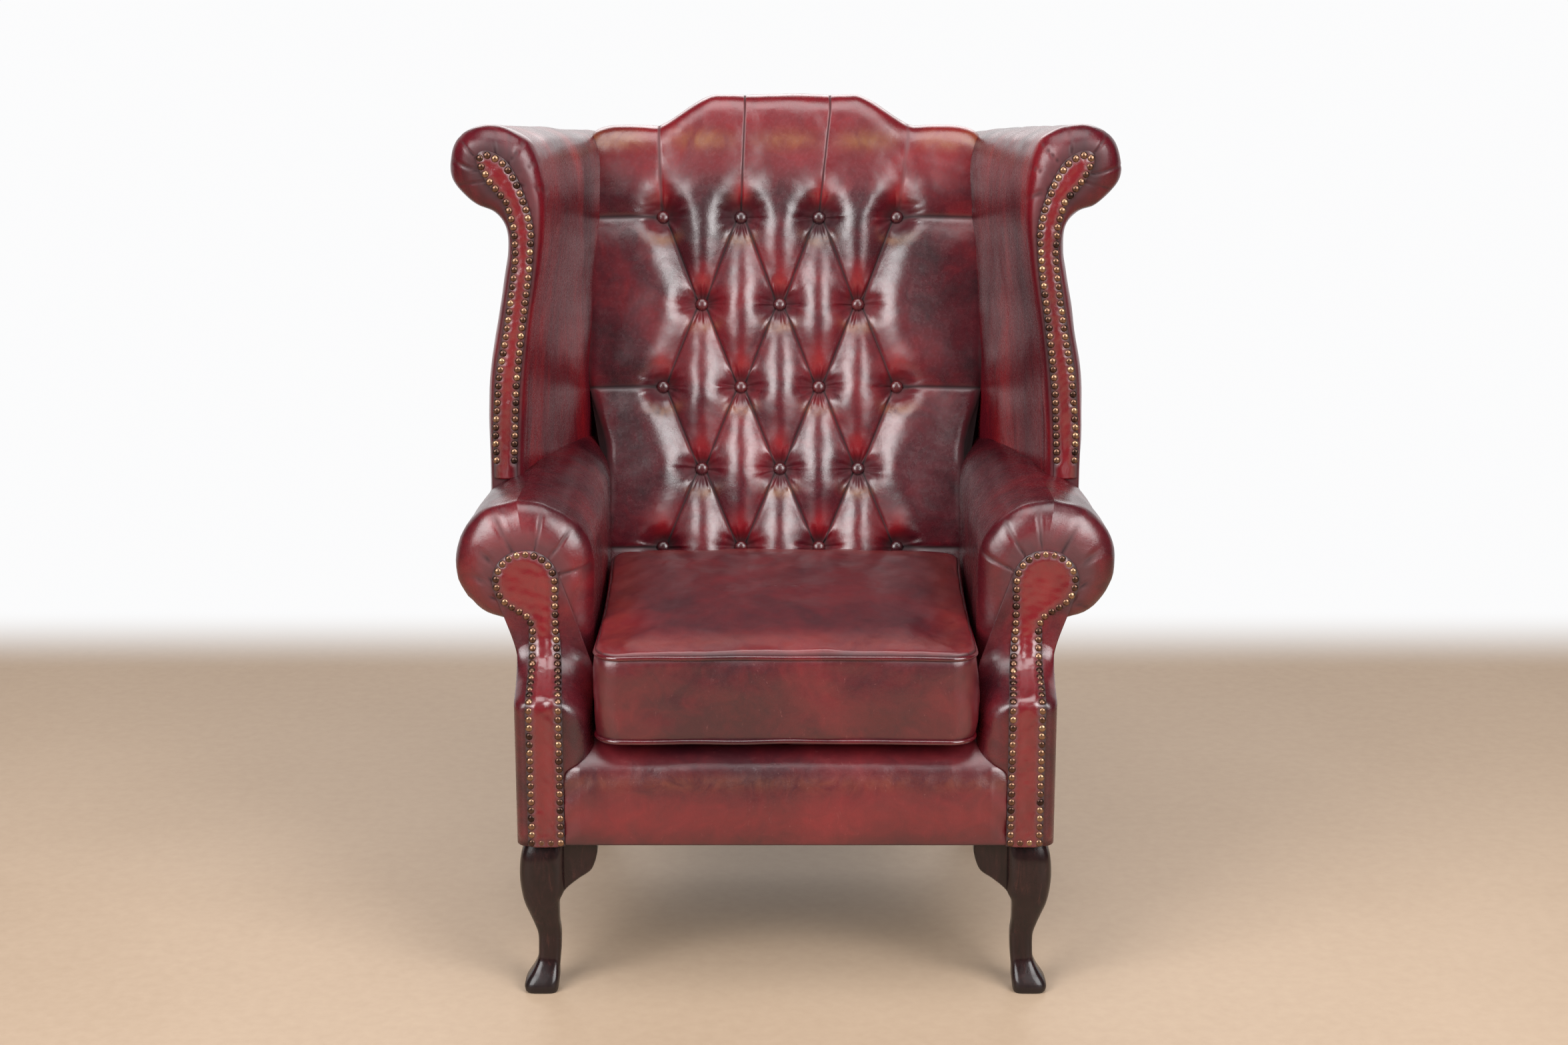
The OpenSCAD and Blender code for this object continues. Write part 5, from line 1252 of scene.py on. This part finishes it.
pad = cushion()
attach(pad, "seat_cushion")
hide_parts("cushion_cover")


# The piping: a cord wrapped in a strip of the brighter leather, sewn into both seams of the cushion. The two rounds
# make one piece.
def joined(*parts):
    """Parts made into one piece, which keeps the first one's name."""
    pick(*parts)
    bpy.ops.object.join()
    parts[0].select_set(False)
    return parts[0]


def piped_welts():
    """Two round welts on the cushion's edges, as one piece."""
    grids = []
    for z in (welt_top, welt_low):
        line = np.array([(x, cushion_mid + y, z) for x, y in cushion_outline(welt_d / 2 - 0.0002)])
        line[:, 2] += ripple(line, 0.12, 0.0008, 71)
        along = np.roll(line, -1, 0) - np.roll(line, 1, 0)
        along /= np.linalg.norm(along, axis=1, keepdims=True)
        across = np.cross(along, (0, 0, 1))
        turn = np.linspace(0, 2 * math.pi, 13)[:-1]
        spokes = np.cos(turn)[None, :, None] * across[:, None] + np.sin(turn)[None, :, None] * np.array([0, 0, 1.0])
        ring = line[:, None] + (welt_d / 2 + 0.0003) * spokes
        grids.append(np.concatenate([ring, ring[:1]]))
    upper = skin("cushion_piping", grids[0], facing_leather, capped=False)
    return joined(upper, skin("lower_piping", grids[1], facing_leather, capped=False))


piping = piped_welts()
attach(piping, "seat_cushion")
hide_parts("cushion_welt")


# The zip: a dark nylon zip sewn into the rear of the boxing, through which the foam goes in. Its solids stay as they
# are and get a woven tape with fine teeth.
def zip_tape():
    material, shader, where = new_finish("zip_tape")
    teeth = where.bands("X", 190)
    weave = where.noise(900, 2)
    colour = (teeth * 0.4 + weave * 0.6).ramp((0.3, (0.02, 0.02, 0.022)), (0.7, (0.08, 0.075, 0.07)))
    give(shader, where, colour, 0.5 + 0.3 * weave, where.bump(teeth, 0.0005))
    return material


dress(zip_tape(), "cushion_zip")


# The legs: polished dark mahogany. The front ones are cabriole legs with a pad foot and a shaped bracket on each
# side of the knee, held by a bolt through their tops; the rear ones are square, tapered and raked back.
def polished_mahogany():
    material, shader, where = new_finish("polished_mahogany")
    grain = where.stretched(7, 7, 1).noise(22, 6, 0.6, 1.2)
    wear = where.noise(38, 5, 0.6)
    foot = where.coordinate(2).between(0.03, 0.0)
    colour = (grain * 0.65 + wear * 0.35).ramp(
        (0.34, (0.006, 0.003, 0.003)), (0.56, (0.017, 0.006, 0.006)), (0.72, (0.045, 0.015, 0.012))
    )
    colour = colour.mixed(foot * 0.7, (0.008, 0.005, 0.005))
    give(shader, where, colour, 0.16 + 0.2 * wear + 0.2 * foot, where.bump(grain * 0.5 + wear * 0.5, 0.0004),
         coat_weight=0.25, coat_roughness=0.12, specular_ior_level=0.3)
    return material


mahogany = polished_mahogany()
dress(mahogany, "left_rear_leg", "right_rear_leg")
knee_w, ankle_w, foot_w = 0.058, 0.03, 0.045
# Levels of a front leg: share of its height, width, and how far it stands out as a share of the knee's width
leg_levels = [
    (1, knee_w * 0.92, 0.02), (0.9, knee_w, 0.08), (0.78, knee_w * 1.02, 0.1), (0.68, knee_w * 0.98, 0.09),
    (0.6, knee_w * 0.8, 0.12), (0.52, knee_w * 0.68, 0.08), (0.44, ankle_w * 1.12, 0.03),
    (0.36, ankle_w * 1.02, -0.02), (0.27, ankle_w, -0.02), (0.2, ankle_w, 0), (0.14, ankle_w * 1.16, 0.06),
    (0.085, foot_w * 0.95, 0.13), (0.045, foot_w, 0.17), (0.015, foot_w * 0.97, 0.17), (0, foot_w * 0.9, 0.16)
]
leg_x = arm_out - knee_w * 0.64
leg_y = arm_out - leg_x
bracket_shares = [
    (0, 0), (0, 0.17), (0.06, 0.31), (0.17, 0.44), (0.47, 0.565), (0.77, 0.71), (0.94, 0.855), (1, 1), (1.1, 1),
    (1.1, 0)
]
bracket_w, bracket_h, bracket_d = 0.053, 0.093, 0.03


def cabriole(name, side):
    """One front leg with its two knee brackets. Each bracket is a flat board with eased edges."""
    body = smooth_line(np.array(leg_levels), 6)
    turn = np.linspace(0, 2 * math.pi, 41)[:-1]
    square = (np.abs(np.cos(turn)) ** 4.2 + np.abs(np.sin(turn)) ** 4.2) ** (-1 / 4.2)
    rings = []
    for height, width, out in body:
        push = knee_w * out
        r = width / 2 * square
        x, y = leg_x + push + r * np.cos(turn), leg_y - push + r * np.sin(turn)
        rings.append(np.stack([x, y, leg_top * height + 0 * turn], 1))
    rings = np.array(rings)
    rings[..., 0] *= side
    leg = skin(name, rings, mahogany)
    brackets = []
    for to_side in (False, True):
        flat = np.array([((s - 1) * bracket_w, leg_top - t * bracket_h) for s, t in bracket_shares])
        curve = np.vstack([flat[:1], smooth_line(flat[1:8], 5), flat[8:]])
        layers = []
        for depth, shrink in ((-0.7, 0.0022), (-0.64, 0.0005), (-0.55, 0), (0.15, 0), (0.24, 0.0005), (0.3, 0.0022)):
            aim = np.array([-0.01, leg_top - 0.02]) - curve
            line = curve + aim / np.linalg.norm(aim, axis=1, keepdims=True) * shrink
            line[:, 1] = np.minimum(line[:, 1], leg_top - 0.0001)
            along, across = knee_w * 0.24 - line[:, 0], depth * bracket_d + 0 * line[:, 0]
            x, y = (leg_x - across, leg_y + along) if to_side else (leg_x - along, leg_y + across)
            layers.append(np.stack([x * side, y, line[:, 1]], 1))
        brackets.append(skin(name + ("_side_bracket" if to_side else "_front_bracket"), np.array(layers), mahogany))
    leg = joined(leg, *brackets)
    pick(leg)
    bpy.ops.object.shade_smooth_by_angle(angle=math.radians(40))
    leg.select_set(False)
    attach(leg, "chair")
    return leg


left_leg = cabriole("left_cabriole_leg", -1)
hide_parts("left_front_leg")
right_leg = cabriole("right_cabriole_leg", 1)
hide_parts("right_front_leg")
